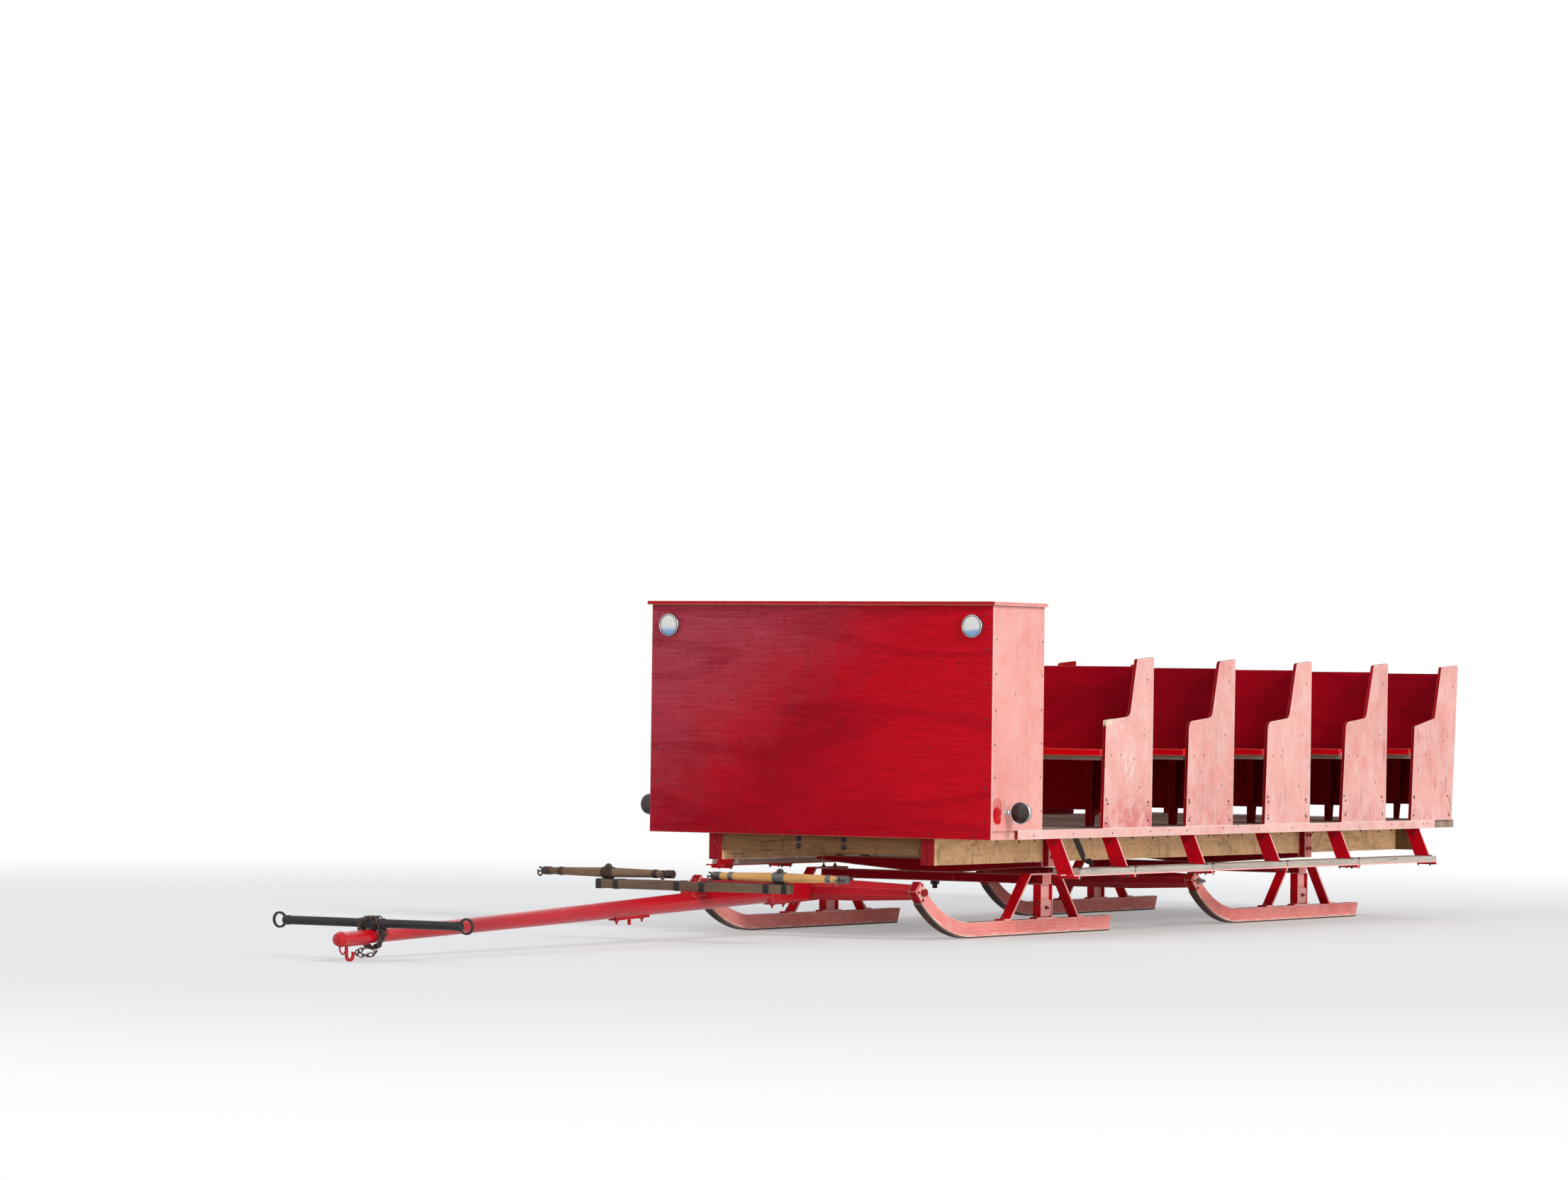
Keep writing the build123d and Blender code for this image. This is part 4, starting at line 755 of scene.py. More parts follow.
# %% Bare timber
def bare_timber(name, axes, tan, grey, weathered, painted=0.0, fineness=90.0, pitch=None, first=0.0,
                relief=0.0025, sawn=0.0, streaked=0.42, end_paint_x=None, end_tone=None,
                side_faces_only=0.0, shod=(), softened=0.0):
    """Wood from tan to grey with grain, knots and checks, then saw marks, old paint and iron bands."""
    made, tree, shader = new_material(name, 0.2)
    board = board_place(tree, *axes)
    seen = put(tree, "TexCoord").outputs
    place = seen["Object"]
    lines = effect(tree, grain, Board=board, Fineness=fineness, Figure=2.6, Rings=7.0)
    patch = ramped(tree, clouds(tree, stretched(tree, board, (1, 1, 0.3)), 3.0, 4.0), 0.35, 0.65)
    colour = mixed(tree, plus(tree, patch, 0.5, weathered - 0.25), opaque(tan), opaque(grey))
    if pitch:
        colour = own_tone(tree, board, colour, grey, pitch, first)
    dark = times(tree, ramped(tree, lines["Fibres"], 0.46, 0.66), streaked)
    colour = mixed(tree, dark, colour, opaque(tan, 0.40))
    ringed = times(tree, ramped(tree, lines["Arcs"], 0.55, 0.95), 0.28)
    colour = mixed(tree, ringed, colour, opaque(tan, 0.50))
    if sawn:
        colour = saw_marks(tree, board, place, colour, tan, grey, sawn)
    knot_feeds = {"Vector": stretched(tree, board, (1, 1, 0.45)), "Scale": 5.0}
    knots = put(tree, "TexVoronoi", knot_feeds).outputs["Distance"]
    colour = mixed(tree, ramped(tree, knots, 0.10, 0.055, 0.0, 0.6), colour, opaque(tan, 0.25))
    split_lines = effect(tree, checks, Board=board, Fineness=95.0, Amount=0.6)["Mask"]
    colour = mixed(tree, split_lines, colour, CHECK_DARK)
    if painted:
        left = ramped(tree, clouds(tree, place, 6.0, 6.0, 0.7), 0.46, 0.54, 0.0, painted)
        colour = mixed(tree, left, colour, OLD_PAINT)
    edge = effect(tree, wear, Place=place, Radius=0.008, Amount=0.6)["Mask"]
    colour = mixed(tree, edge, colour, opaque(grey, 1.25))
    if end_tone:
        colour = painted_end(tree, seen, colour, end_paint_x, end_tone, side_faces_only)
    for middle_y, half in shod:
        banded = reckon(tree, "LESS_THAN", apart(tree, parted(tree, place)["Y"], middle_y), half)
        shod_tone = mixed(tree, clouds(tree, place, 60.0, 4.0), SHOD_DARK, SHOD_DEEP)
        colour = mixed(tree, banded, colour, shod_tone)
    height = less(tree, lines["Fibres"], times(tree, split_lines, 0.8))
    wire(tree, shader, colour, plus(tree, lines["Fibres"], 0.2, 0.66), height, 0.7, relief, softened)
    return made


TAN = (0.98, 0.62, 0.31)
GREY = (0.46, 0.40, 0.34)
TREE_BOLT_Y, EYE_Y = 0.520, 0.3775
SHOD_MIDDLE_HALF, SHOD_TIP_HALF, SHOD_TIP_OUT = 0.033, 0.026, 0.003
sill_timber = bare_timber("sill timber", ALONG_X, TAN, (0.95, 0.62, 0.36), 0.25, sawn=0.65,
                          streaked=0.25, end_paint_x=FRONT_X - 0.038, end_tone=(0.30, 0.005, 0.012))
beam_timber = bare_timber("beam timber", ALONG_Y, (0.26, 0.125, 0.045), (0.19, 0.115, 0.055), 0.30,
                          sawn=0.45)
# The plank ends ahead of the rail get the salmon of painted sunlight on the faces that look sideways.
deck_timber = bare_timber("deck timber", FLAT_ALONG_Y, (0.50, 0.34, 0.22), GREY, 0.75, painted=0.25,
                          pitch=PLANK_PITCH, first=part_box("floor_planks")[0].x,
                          end_paint_x=FRONT_X - 0.290, end_tone=(0.90, 0.46, 0.41), side_faces_only=1.0)
step_timber = bare_timber("step timber", FLAT_ALONG_X, (0.52, 0.42, 0.34), (0.58, 0.53, 0.48), 0.7)
bearer_timber = bare_timber("bearer timber", ALONG_Y, (0.42, 0.33, 0.25), GREY, 0.7)
evener_timber = bare_timber("evener timber", FLAT_ALONG_Y, (0.16, 0.09, 0.05), (0.22, 0.16, 0.12), 0.4)
tree_timbers = {}
for name, bolt_y, tan, grey in (
    ("singletree_left", TREE_BOLT_Y, (0.80, 0.42, 0.13), (0.66, 0.38, 0.17)),
    ("singletree_right", -TREE_BOLT_Y, (0.20, 0.115, 0.065), (0.24, 0.17, 0.12)),
):
    tips = [(bolt_y + side * (EYE_Y + SHOD_TIP_OUT), SHOD_TIP_HALF) for side in SIDES]
    tree_timbers[name] = bare_timber(name + " timber", FLAT_ALONG_Y, tan, grey, 0.2, softened=0.008,
                                     shod=[(bolt_y, SHOD_MIDDLE_HALF), *tips])
print("bare timbers", sum("timber" in made.name for made in bpy.data.materials))

# %% [markdown]
# ## Finish: iron, steel and chrome
# Straps and shoes are mild steel. Paint keeps on the flats, rust breaks out in patches, and edges are
# rubbed bright. One recipe takes the paint's colour, how much rust shows and how metallic the ground
# is.

# %% Iron and steel
RUST, RUST_DEEP = (0.20, 0.062, 0.022, 1), (0.07, 0.028, 0.016, 1)


def iron(name, colour, shade, rusted=0.4, worn=0.5, metallic=0.0, roughness=0.45,
         bright=(0.55, 0.53, 0.50), shine=0.25, inner_faces=0.0, painted_sunlight=0.0, sunlit_red=(0.95, 0.50, 0.46)):
    """Iron whose paint drifts in tone, takes a pale salmon of painted sunlight on its sideways faces, rusts
    in patches and is rubbed bright on its edges.
    """
    made, tree, shader = new_material(name, shine)
    place = put(tree, "TexCoord").outputs["Object"]
    drift = ramped(tree, clouds(tree, place, 7.0, 5.0), 0.3, 0.7)
    body = mixed(tree, drift, opaque(colour), opaque(shade))
    # Painted sunlight: a pale salmon on the faces that look sideways.
    if painted_sunlight:
        sunlit_mask = effect(tree, sunlit_sides_group, Inner_Faces=inner_faces, Amount=painted_sunlight)["Mask"]
        body = mixed(tree, sunlit_mask, body, opaque(sunlit_red))
    rust = ramped(tree, clouds(tree, place, 34.0, 6.0, 0.7), 0.56, 0.68, 0.0, rusted)
    body = mixed(tree, rust, body, mixed(tree, clouds(tree, place, 160.0, 2.0), RUST, RUST_DEEP))
    edge = effect(tree, wear, Place=place, Radius=0.004, Breakup=60.0, Amount=worn)["Mask"]
    body = mixed(tree, edge, body, opaque(bright))
    rough = plus(tree, rust, 0.4, plus(tree, drift, 0.14, roughness - 0.07))
    height = plus(tree, clouds(tree, place, 220.0, 3.0), 0.5, rust)
    wire(tree, shader, body, rough, height, 0.35, 0.0006)
    shader.inputs["Metallic"].default_value = metallic
    return made


PAINT_WORN = (0.88, 0.52, 0.47)
red_iron = iron("painted iron", (0.78, 0.002, 0.014), (0.52, 0.002, 0.012), rusted=0.15, painted_sunlight=1.0,
                bright=PAINT_WORN, shine=0.08)
pole_iron = iron("pole iron", (0.50, 0.003, 0.010), (0.34, 0.003, 0.010), rusted=0.35,
                 bright=PAINT_WORN, shine=0.15)
truss_iron = iron("truss iron", (0.72, 0.003, 0.012), (0.50, 0.003, 0.012), rusted=0.25, painted_sunlight=0.95,
                  inner_faces=0.8, bright=PAINT_WORN, shine=0.08)
bolt_iron = iron("bolt iron", (0.36, 0.006, 0.012), (0.20, 0.010, 0.012), rusted=0.5, worn=0.10,
                 bright=PAINT_WORN, shine=0.15)
shoe_steel = iron("shoe steel", (0.105, 0.050, 0.040), (0.050, 0.030, 0.027), rusted=0.35, worn=1.0,
                  roughness=0.60, bright=(0.80, 0.68, 0.54), shine=0.12)
bright_steel = iron("worn steel", (0.42, 0.41, 0.40), (0.24, 0.23, 0.22), rusted=0.25, worn=0.6,
                    metallic=0.9, roughness=0.34, shine=0.5)
dull_steel = iron("dull steel", (0.15, 0.145, 0.14), (0.060, 0.056, 0.054), rusted=0.35, worn=0.6,
                  metallic=0.7, roughness=0.40, bright=(0.50, 0.48, 0.46), shine=0.4)
black_iron = iron("black iron", (0.014, 0.013, 0.015), (0.024, 0.021, 0.021), rusted=0.15, worn=0.35,
                  roughness=0.42, bright=(0.20, 0.16, 0.16))
rusty_iron = iron("rusty iron", (0.085, 0.040, 0.026), (0.045, 0.028, 0.022), rusted=0.9, worn=0.3,
                  metallic=0.3, roughness=0.62)
screw_iron = iron("screw iron", (0.055, 0.018, 0.016), (0.030, 0.014, 0.014), rusted=0.7, worn=0.2,
                  roughness=0.60)
chrome = iron("lamp chrome", (0.74, 0.75, 0.76), (0.42, 0.43, 0.45), rusted=0.06, worn=0.0,
              metallic=1.0, roughness=0.16, shine=0.5)
print("metals", sum(made.name.endswith(("iron", "steel", "chrome")) for made in bpy.data.materials))

# %% [markdown]
# ## Finish: the lamps' glass
# The headlamps have clear glass over a bright dish, the low side lamps a dark red glass. The colour
# of both is a painted reflection, of the sky above and the ground below, and both carry a film of
# dust that breaks their shine up.

# %% Glass
HEADLAMP_Z = BOX_TOP_Z - 0.109
SIDE_LAMP_Z = BED_LOW_Z + 0.143
DUST = (0.55, 0.52, 0.50, 1)
GLASS_IOR = 1.46


def glass(name, sky, ground, middle_z, clear, dusty, smooth):
    """Glass over a dish, whose colour is a painted reflection: the sky's colour on its upper part and the
    ground's below middle_z, and dust makes the surface rougher in patches."""
    made, tree, shader = new_material(name, 0.5)
    place = put(tree, "TexCoord").outputs["Object"]
    dust = ramped(tree, clouds(tree, place, 45.0, 6.0, 0.7), 0.42, 0.72, 0.0, dusty)
    # Painted reflection: the sky's colour above middle_z and the ground's below it.
    wavering = plus(tree, clouds(tree, place, 40.0, 3.0), 0.030, parted(tree, place)["Z"])
    sky_reflection_share = ramped(tree, wavering, middle_z - 0.022, middle_z + 0.010)
    reflection_and_dust = mixed(tree, dust, mixed(tree, sky_reflection_share, opaque(ground), opaque(sky)), DUST)
    wire(tree, shader, reflection_and_dust, plus(tree, dust, 0.5, smooth), dust, 0.2, 0.0004)
    shader.inputs["Transmission Weight"].default_value = clear
    shader.inputs["IOR"].default_value = GLASS_IOR
    return made


clear_glass = glass("clear glass", sky=(0.97, 0.97, 0.92), ground=(0.28, 0.50, 0.82),
                    middle_z=HEADLAMP_Z, clear=0.25, dusty=0.25, smooth=0.06)
dark_glass = glass("dark red glass", sky=(0.034, 0.022, 0.024), ground=(0.012, 0.006, 0.008),
                   middle_z=SIDE_LAMP_Z, clear=0.0, dusty=0.06, smooth=0.22)
print("headlamps at", round(HEADLAMP_Z, 3), "m, side lamps at", round(SIDE_LAMP_Z, 3), "m")

# %% [markdown]
# ## Which finish goes on which part
# The CAD nodes keep their own meshes and only get a finish each.

# %% Finishes on the CAD nodes
FINISHES = {
    "floor_planks": deck_timber, "side_rails": rail_paint, "sills": sill_timber, "cross_beams": beam_timber,
    "bolsters": timber_paint, "bolster_stakes": timber_paint, "king_pins": black_iron,
    "step_irons_left": red_iron, "step_irons_right": red_iron, "step_boards": step_timber,
    "front_panel": panel_paint, "box_sides": side_paint, "box_cap": cap_paint, "box_frame": back_paint,
    "seat_bearers": bearer_timber, "bench_legs": back_paint, "lamp_bowls": chrome,
    "lamp_lenses": clear_glass, "pole": pole_paint, "pole_irons": pole_iron,
    "doubletree": evener_timber, "neck_yoke": black_iron, **tree_timbers,
}
END_PAINTS = (first_end_paint, end_paint, end_paint, end_paint, last_end_paint)
for number, own_paint in enumerate(END_PAINTS, 1):
    for part, finish in (("ends", own_paint), ("seat", seat_paint), ("back", back_paint)):
        FINISHES[f"bench_{number}_{part}"] = finish
for bob in PINS:
    for part, finish in (
        ("runners", runner_paints[bob]), ("shoes", shoe_steel), ("nose_irons", truss_iron),
        ("roller", roller_paint), ("posts", truss_iron), ("trusses", truss_iron), ("beam", timber_paint),
    ):
        FINISHES[f"{bob}_{part}"] = finish
for name, made in nodes.items():
    made.data.materials.clear()
    made.data.materials.append(FINISHES[name])
print("finished nodes", len(FINISHES))

# %% [markdown]
# ## Surfaces
# Every added piece is a surface with two parameters: rows that run along it and columns that run
# round it. A turned part, a nut, a chain link and a bent strap differ only in how a point is reckoned
# from its row and column, so one function makes the faces of all of them. Whole arrays are reckoned
# at once. A surface is kept as three arrays: points, four-sided faces and three-sided faces.


# %% Surfaces from rows and columns
def skin(points, looped=False):
    """Joins each point to the next one round and the next one along; ends are closed by a middle point."""
    rows, columns = points.shape[:2]
    here = np.arange(rows * columns).reshape(rows, columns)
    beside = np.roll(here, -1, axis=1)
    if looped:
        quads = np.stack([here, beside, np.roll(beside, -1, axis=0), np.roll(here, -1, axis=0)], axis=-1)
        return points.reshape(-1, 3), quads.reshape(-1, 4), np.empty((0, 3), int)
    quads = np.stack([here[:-1], beside[:-1], beside[1:], here[1:]], axis=-1)
    low_pole, high_pole = np.full(columns, rows * columns), np.full(columns, rows * columns + 1)
    low = np.stack([low_pole, beside[0], here[0]], axis=-1)
    high = np.stack([high_pole, here[-1], beside[-1]], axis=-1)
    ends = points[[0, -1]].mean(axis=1)
    return np.vstack([points.reshape(-1, 3), ends]), quads.reshape(-1, 4), np.vstack([low, high])


def round_rows(radii, heights):
    """Rows round the Z axis: point (r cos a, r sin a, h), with r given for each row and angle a."""
    columns = radii.shape[1]
    turn = 2 * pi * np.arange(columns) / columns
    high = np.broadcast_to(np.asarray(heights, float)[:, None], radii.shape)
    return np.stack([radii * np.cos(turn), radii * np.sin(turn), high], axis=-1)


def lathed(profile, sides=24):
    """A turned part: the profile's radius and height carried round the Z axis."""
    radius, height = np.array(profile, float).T
    return skin(round_rows(np.repeat(radius[:, None], sides, axis=1), height))


def ring(profile, sides=48):
    """A turned ring: a closed profile of radius and height carried round the Z axis."""
    radius, height = np.array(profile, float).T
    rows = round_rows(np.repeat(radius[:, None], sides, axis=1), height)
    return skin(rows.transpose(1, 0, 2)[::-1], looped=True)


def hex_nut(across, height, stub_r, stub):
    """A nut on a bolt's end: at angle a the flat's radius is half the width over the cosine of a's
    distance to the nearest flat, and the crown cuts that down to a circle."""
    turn = 2 * pi * np.arange(12) / 12
    flat = across / 2 / np.cos(np.abs((turn + pi / 6) % (pi / 3) - pi / 6))
    crown = np.minimum(flat, across * 0.51)
    shank = np.full(12, stub_r)
    radii = np.stack([flat, flat, crown, shank, shank, shank * 0.7])
    return skin(round_rows(radii, [0, height * 0.75, height, height, height + stub * 0.85, height + stub]))


print("points of a nut", len(hex_nut(0.019, 0.009, 0.0050, 0.012)[0]))

# %% [markdown]
# ## Sections carried along a path
# Straps, bands, hooks and chain links are bars bent to a line. A bar is one outline that is carried
# along the line and stays square to it. One kind of outline serves all: an oval that can be made
# squarer, up to a flat bar with rounded edges.


# %% Sections carried along a path
def oval(half_wide, half_high, count=12, squareness=0.35):
    """A closed outline: half size times the sign and a power of cosine and sine; a low power is squarer."""
    turn = 2 * pi * (np.arange(count) + 0.5) / count
    wide, high = np.cos(turn), np.sin(turn)
    return np.stack([half_wide * np.sign(wide) * np.abs(wide) ** squareness,
                     half_high * np.sign(high) * np.abs(high) ** squareness], axis=-1)


def swept(path, section, across, looped=False):
    """The section carried along a path: at each place it stands square to the path, its first axis is
    the cross product of the given direction with the path's own."""
    path = np.asarray(path, float)
    if looped:
        way = np.roll(path, -1, axis=0) - np.roll(path, 1, axis=0)
    else:
        way = np.gradient(path, axis=0)
    way /= np.linalg.norm(way, axis=1, keepdims=True)
    first = np.cross(np.broadcast_to(across, way.shape), way)
    first /= np.linalg.norm(first, axis=1, keepdims=True)
    second = np.cross(way, first)
    points = path[:, None] + section[None, :, :1] * first[:, None] + section[None, :, 1:] * second[:, None]
    return skin(points, looped)


print("an outline", oval(1.0, 0.5, 4).round(2).tolist())

# %% [markdown]
# ## Copies, and a finished piece
# A fastener is made once and copied to a table of places, with whole arrays again: each copy is
# turned to look outward and may have a turn of its own. Several surfaces of one finish and one body
# are joined to one object, which keeps the scene light.

# %% Copies, and a finished piece
FORWARD, BACKWARD = (1, 0, 0), (-1, 0, 0)
LEFT, RIGHT = (0, 1, 0), (0, -1, 0)
UP, DOWN = (0, 0, 1), (0, 0, -1)


def copies(surface, places, toward, spin=0.0):
    """The surface at each place, its own Z turned toward a direction and then turned about it by spin."""
    points, quads, tris = surface
    places = np.asarray(places, float).reshape(-1, 3)
    ahead = np.array(np.broadcast_to(toward, places.shape), float)
    ahead /= np.linalg.norm(ahead, axis=1, keepdims=True)
    side = np.cross(np.where(np.abs(ahead[:, 2:]) > 0.9, [1.0, 0, 0], [0, 0, 1.0]), ahead)
    side /= np.linalg.norm(side, axis=1, keepdims=True)
    over = np.cross(ahead, side)
    angle = np.broadcast_to(spin, len(places))[:, None]
    turn = np.stack([np.cos(angle) * side + np.sin(angle) * over,
                     np.cos(angle) * over - np.sin(angle) * side, ahead], axis=-1)
    moved = np.einsum("nij,kj->nki", turn, points) + places[:, None]
    shift = (np.arange(len(places)) * len(points))[:, None, None]
    return moved.reshape(-1, 3), (quads + shift).reshape(-1, 4), (tris + shift).reshape(-1, 3)


def joined(*surfaces):
    """Several surfaces as one."""
    starts = np.cumsum([0] + [len(points) for points, _, _ in surfaces])
    return tuple(np.vstack([part[kind] + (start if kind else 0) for part, start in zip(surfaces, starts)])
                 for kind in range(3))


def flipped(surface):
    """The same surface on the sleigh's other side, its faces still outward."""
    points, quads, tris = surface
    return points * [1, -1, 1], quads[:, ::-1], tris[:, ::-1]


def on_sides(surface, places):
    """Copies that look outward at places on the left side and at their mirror places on the right."""
    left = np.asarray(places, float).reshape(-1, 3)
    return joined(copies(surface, left, LEFT, spins(len(left))),
                  copies(surface, left * [1, -1, 1], RIGHT, spins(len(left))))


def spins(count):
    """A random turn for each of some fasteners, because nobody lines them up."""
    return chance.uniform(0, 2 * pi, count)


def piece(name, surface, body, finish, smooth=40):
    """The surface as an object that rides on a body; edges sharper than smooth degrees stay sharp."""
    points, quads, tris = surface
    mesh = bpy.data.meshes.new(name)
    mesh.from_pydata(points.tolist(), [], quads.tolist() + tris.tolist())
    mesh.polygons.foreach_set("use_smooth", np.ones(len(mesh.polygons), bool))
    mesh.set_sharp_from_angle(angle=radians(smooth))
    mesh.materials.append(finish)
    made = bpy.data.objects.new(name, mesh)
    bpy.context.scene.collection.objects.link(made)
    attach(made, body)
    print(name, len(mesh.polygons), "faces")
    return made


three_nuts = copies(hex_nut(0.019, 0.009, 0.0050, 0.012), np.zeros((3, 3)), UP)
print("points of three nuts", len(three_nuts[0]))

# %% [markdown]
# ## Screws and nails
# Sheet and boards are held by countersunk screws and nails whose heads the paint never quite hid.
# Each is a small turned head with a dimple. Tables say where they go: along the panel's battens, up
# the box sides, at the feet of the bench ends, where each seat and back board is fixed, and in pairs
# on every floor plank over the sills.

# %% Screws and nails
SCREW_HEAD = lathed([(0.0052, -0.001), (0.0054, 0.0006), (0.0040, 0.0010), (0.0018, 0.0002)], 8)
FOOT_SCREW = lathed([(0.0078, -0.001), (0.0080, 0.0007), (0.0058, 0.0012), (0.0022, 0.0003)], 8)
NAIL_HEAD = lathed([(0.0050, -0.001), (0.0052, 0.0006), (0.0026, 0.0014)], 8)
BENCH_LEANS = (0.006, 0.012, 0.006, 0.011, 0.070)
BACK_TOP, BACK_LOW, BACK_LEAN, BACK_INSET, BACK_MID = 0.874, 0.090, 0.100, 0.070, 0.010
SEAT_SCREWS = ((0.046, 0.056), (0.09, 0.385), (0.20, 0.388))
HEEL_SCREWS = ((0.052, 0.050), (0.044, 0.118))
BACK_SCREW_RISES = (0.22, 0.50, 0.80)
TOE_FEET = ((0.038, 0.030), (0.044, 0.128), (0.034, 0.150))
HEEL_FEET = ((0.044, 0.034), (0.056, 0.138))
BATTEN_MID, REAR_BATTEN_MID, BATTEN_SHIFT = 0.038, 0.019, 0.05
RAIL_SCREW_DROP, RAIL_SCREWS_BACK = 0.022, np.arange(0.46, 5.3, 0.43)
STRAY, FOOT_STRAY = 0.004, (0.004, 0, 0.005)
PLANKS, HALF_PLANK, NAIL_ASIDE, SILL_MID = 39, 0.0695, 0.042, 0.038


def end_rows(spots, start_x, way):
    """Places on a bench end's outside: each spot is a distance from start_x, ahead or back, and a rise."""
    return [(start_x + way * off, SIDE_Y, BED_TOP_Z + rise) for off, rise in spots]


panel_heights = np.arange(0.62, 1.72, 0.18)
panel_rows = [(FRONT_X, side * (SIDE_Y - BATTEN_MID), z) for side in SIDES for z in panel_heights]
panel_rows += [(FRONT_X, y, BED_LOW_Z + RAIL_SCREW_DROP) for y in np.linspace(-0.95, 0.95, 8)]
side_rows = [(x, SIDE_Y, z) for x in (FRONT_X - BATTEN_MID, BOX_REAR_X + REAR_BATTEN_MID)
             for z in panel_heights + BATTEN_SHIFT]
side_rows += [(FRONT_X - back, SIDE_Y, BED_TOP_Z - RAIL_SCREW_DROP) for back in RAIL_SCREWS_BACK]
foot_rows = []
for (front, rear), lean in zip(BENCHES, BENCH_LEANS):
    side_rows += end_rows(SEAT_SCREWS, front, -1) + end_rows(HEEL_SCREWS, rear + lean, 1)
    slope = (BACK_LEAN + lean) / (BACK_TOP - BACK_LOW)
    back_x = rear + BACK_INSET - BACK_MID
    side_rows += [(back_x + slope * (BACK_TOP - rise), SIDE_Y, BED_TOP_Z + rise)
                  for rise in BACK_SCREW_RISES]
    foot_rows += end_rows(TOE_FEET, front, -1) + end_rows(HEEL_FEET, rear + lean, 1)
side_rows = np.array(side_rows)
side_rows[:, ::2] += chance.normal(0, STRAY, (len(side_rows), 2))
foot_rows = np.array(foot_rows) + chance.normal(0, 1, (len(foot_rows), 3)) * FOOT_STRAY
plank_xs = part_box("floor_planks")[0].x + HALF_PLANK + PLANK_PITCH * np.arange(PLANKS)
nail_rows = [(x + aside, side * (SILL_Y - SILL_MID), BED_TOP_Z)
             for x in plank_xs for aside in (-NAIL_ASIDE, NAIL_ASIDE) for side in SIDES]
screws = joined(copies(SCREW_HEAD, panel_rows, FORWARD, spins(len(panel_rows))),
                on_sides(SCREW_HEAD, side_rows), on_sides(FOOT_SCREW, foot_rows))
piece("panel_screws", screws, "body", screw_iron)
piece("floor_nails", copies(NAIL_HEAD, nail_rows, UP), "body", screw_iron)

# %% [markdown]
# ## Bolts of the bed and the steps
# Bigger joints are bolted. A carriage bolt shows a low dome, a lag or machine bolt six flats, and the
# thread end stands out of its nut. Washers lie under the heads that bear on timber.

# %% Bolts of the bed and the steps
WASHER = lathed([(0.0155, 0), (0.0160, 0.0008), (0.0158, 0.0026), (0.0120, 0.0030)], 16)
DOME_HEAD = lathed([(0.0115, 0), (0.0120, 0.0012), (0.0100, 0.0045), (0.0052, 0.0066)], 12)
BOLT_HEAD = hex_nut(0.019, 0.008, 0.006, 0.0012)
BOLT_NUT = hex_nut(0.019, 0.009, 0.0050, 0.012)
WASHER_THICK = 0.0028
WASHED_DOME = joined(WASHER, copies(DOME_HEAD, [(0, 0, WASHER_THICK)], UP))
WASHED_NUT = joined(WASHER, copies(BOLT_NUT, [(0, 0, WASHER_THICK)], UP))
BEAM_REAR_X, BEAM_FRONT_X = (corner.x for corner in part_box("cross_beams"))
SPIKES = ((0.085, 0.0), (-0.16, 0.006), (-0.33, 0.0))
SPIKE_Z, SPIKE_CLEAR = 0.507, 0.06
STAKE_OUT, STAKE_BOLT_ASIDE, STAKE_BOLT_ZS = 0.040, 0.020, (0.415, 0.495)
STRAP_BOLT_AHEAD, STRAP_BOLT_IN, STRAP_BOLT_Z = 0.006, 0.052, 0.503
STEP_BOLT_ASIDE, STEP_BOLT_YS, STEP_BAR_THICK = 0.045, (SIDE_Y, SIDE_Y + 0.078), 0.008
DOME_Y, DOME_ZS = 0.139, (0.511, 0.474)
REAR_NUT_YS, REAR_NUT_ZS = (0.634, 0.678, 0.16), (0.425, 0.495)
beam_rows = [(BEAM_FRONT_X, side * DOME_Y, z) for side in SIDES for z in DOME_ZS]
rear_rows = [(BEAM_REAR_X, side * y, z) for side in SIDES for y in REAR_NUT_YS for z in REAR_NUT_ZS]
beam_bolts = joined(copies(WASHED_DOME, beam_rows, FORWARD), copies(WASHED_NUT, rear_rows, BACKWARD))
piece("beam_bolts", beam_bolts, "body", black_iron)
spike_rows = [(x + aside, SILL_Y, SPIKE_Z - drop) for x in STRAP_XS for aside, drop in SPIKES]
spike_rows = [row for row in spike_rows if all(abs(row[0] - x) > SPIKE_CLEAR for x in PINS.values())]
piece("sill_spikes", on_sides(FOOT_SCREW, spike_rows), "body", screw_iron)
stake_rows = [(x + aside, SILL_Y + STAKE_OUT, z) for x in PINS.values()
              for aside in (-STAKE_BOLT_ASIDE, STAKE_BOLT_ASIDE) for z in STAKE_BOLT_ZS]
strap_rows = [(x + STRAP_BOLT_AHEAD, side * (SIDE_Y - STRAP_BOLT_IN), STRAP_BOLT_Z)
              for x in STRAP_XS for side in SIDES]
body_bolts = joined(on_sides(BOLT_HEAD, stake_rows),
                    copies(BOLT_HEAD, strap_rows, FORWARD, spins(len(strap_rows))))
piece("body_bolts", body_bolts, "body", bolt_iron)
step_xs = [x + aside for x in STRAP_XS for aside in (STEP_BOLT_ASIDE, -STEP_BOLT_ASIDE)][1:-1]
step_rows = np.array([(x, side * y, STEP_TOP_Z) for x in step_xs for y in STEP_BOLT_YS for side in SIDES])
under_rows = step_rows * [1, 1, 0] + [0, 0, STEP_LOW_Z - STEP_BAR_THICK]
step_bolts = joined(copies(DOME_HEAD, step_rows, UP),
                    copies(BOLT_NUT, under_rows, DOWN, spins(len(under_rows))))
piece("step_bolts", step_bolts, "body", black_iron)

# %% [markdown]
# ## Sill straps
# A flat black strap is nailed aslant on each sill, and its lower end is bent out under the timber to
# carry a rope. It is one flat section carried along a path: down the sill's face, round a bend whose
# height falls with the cosine of the turn, and out.

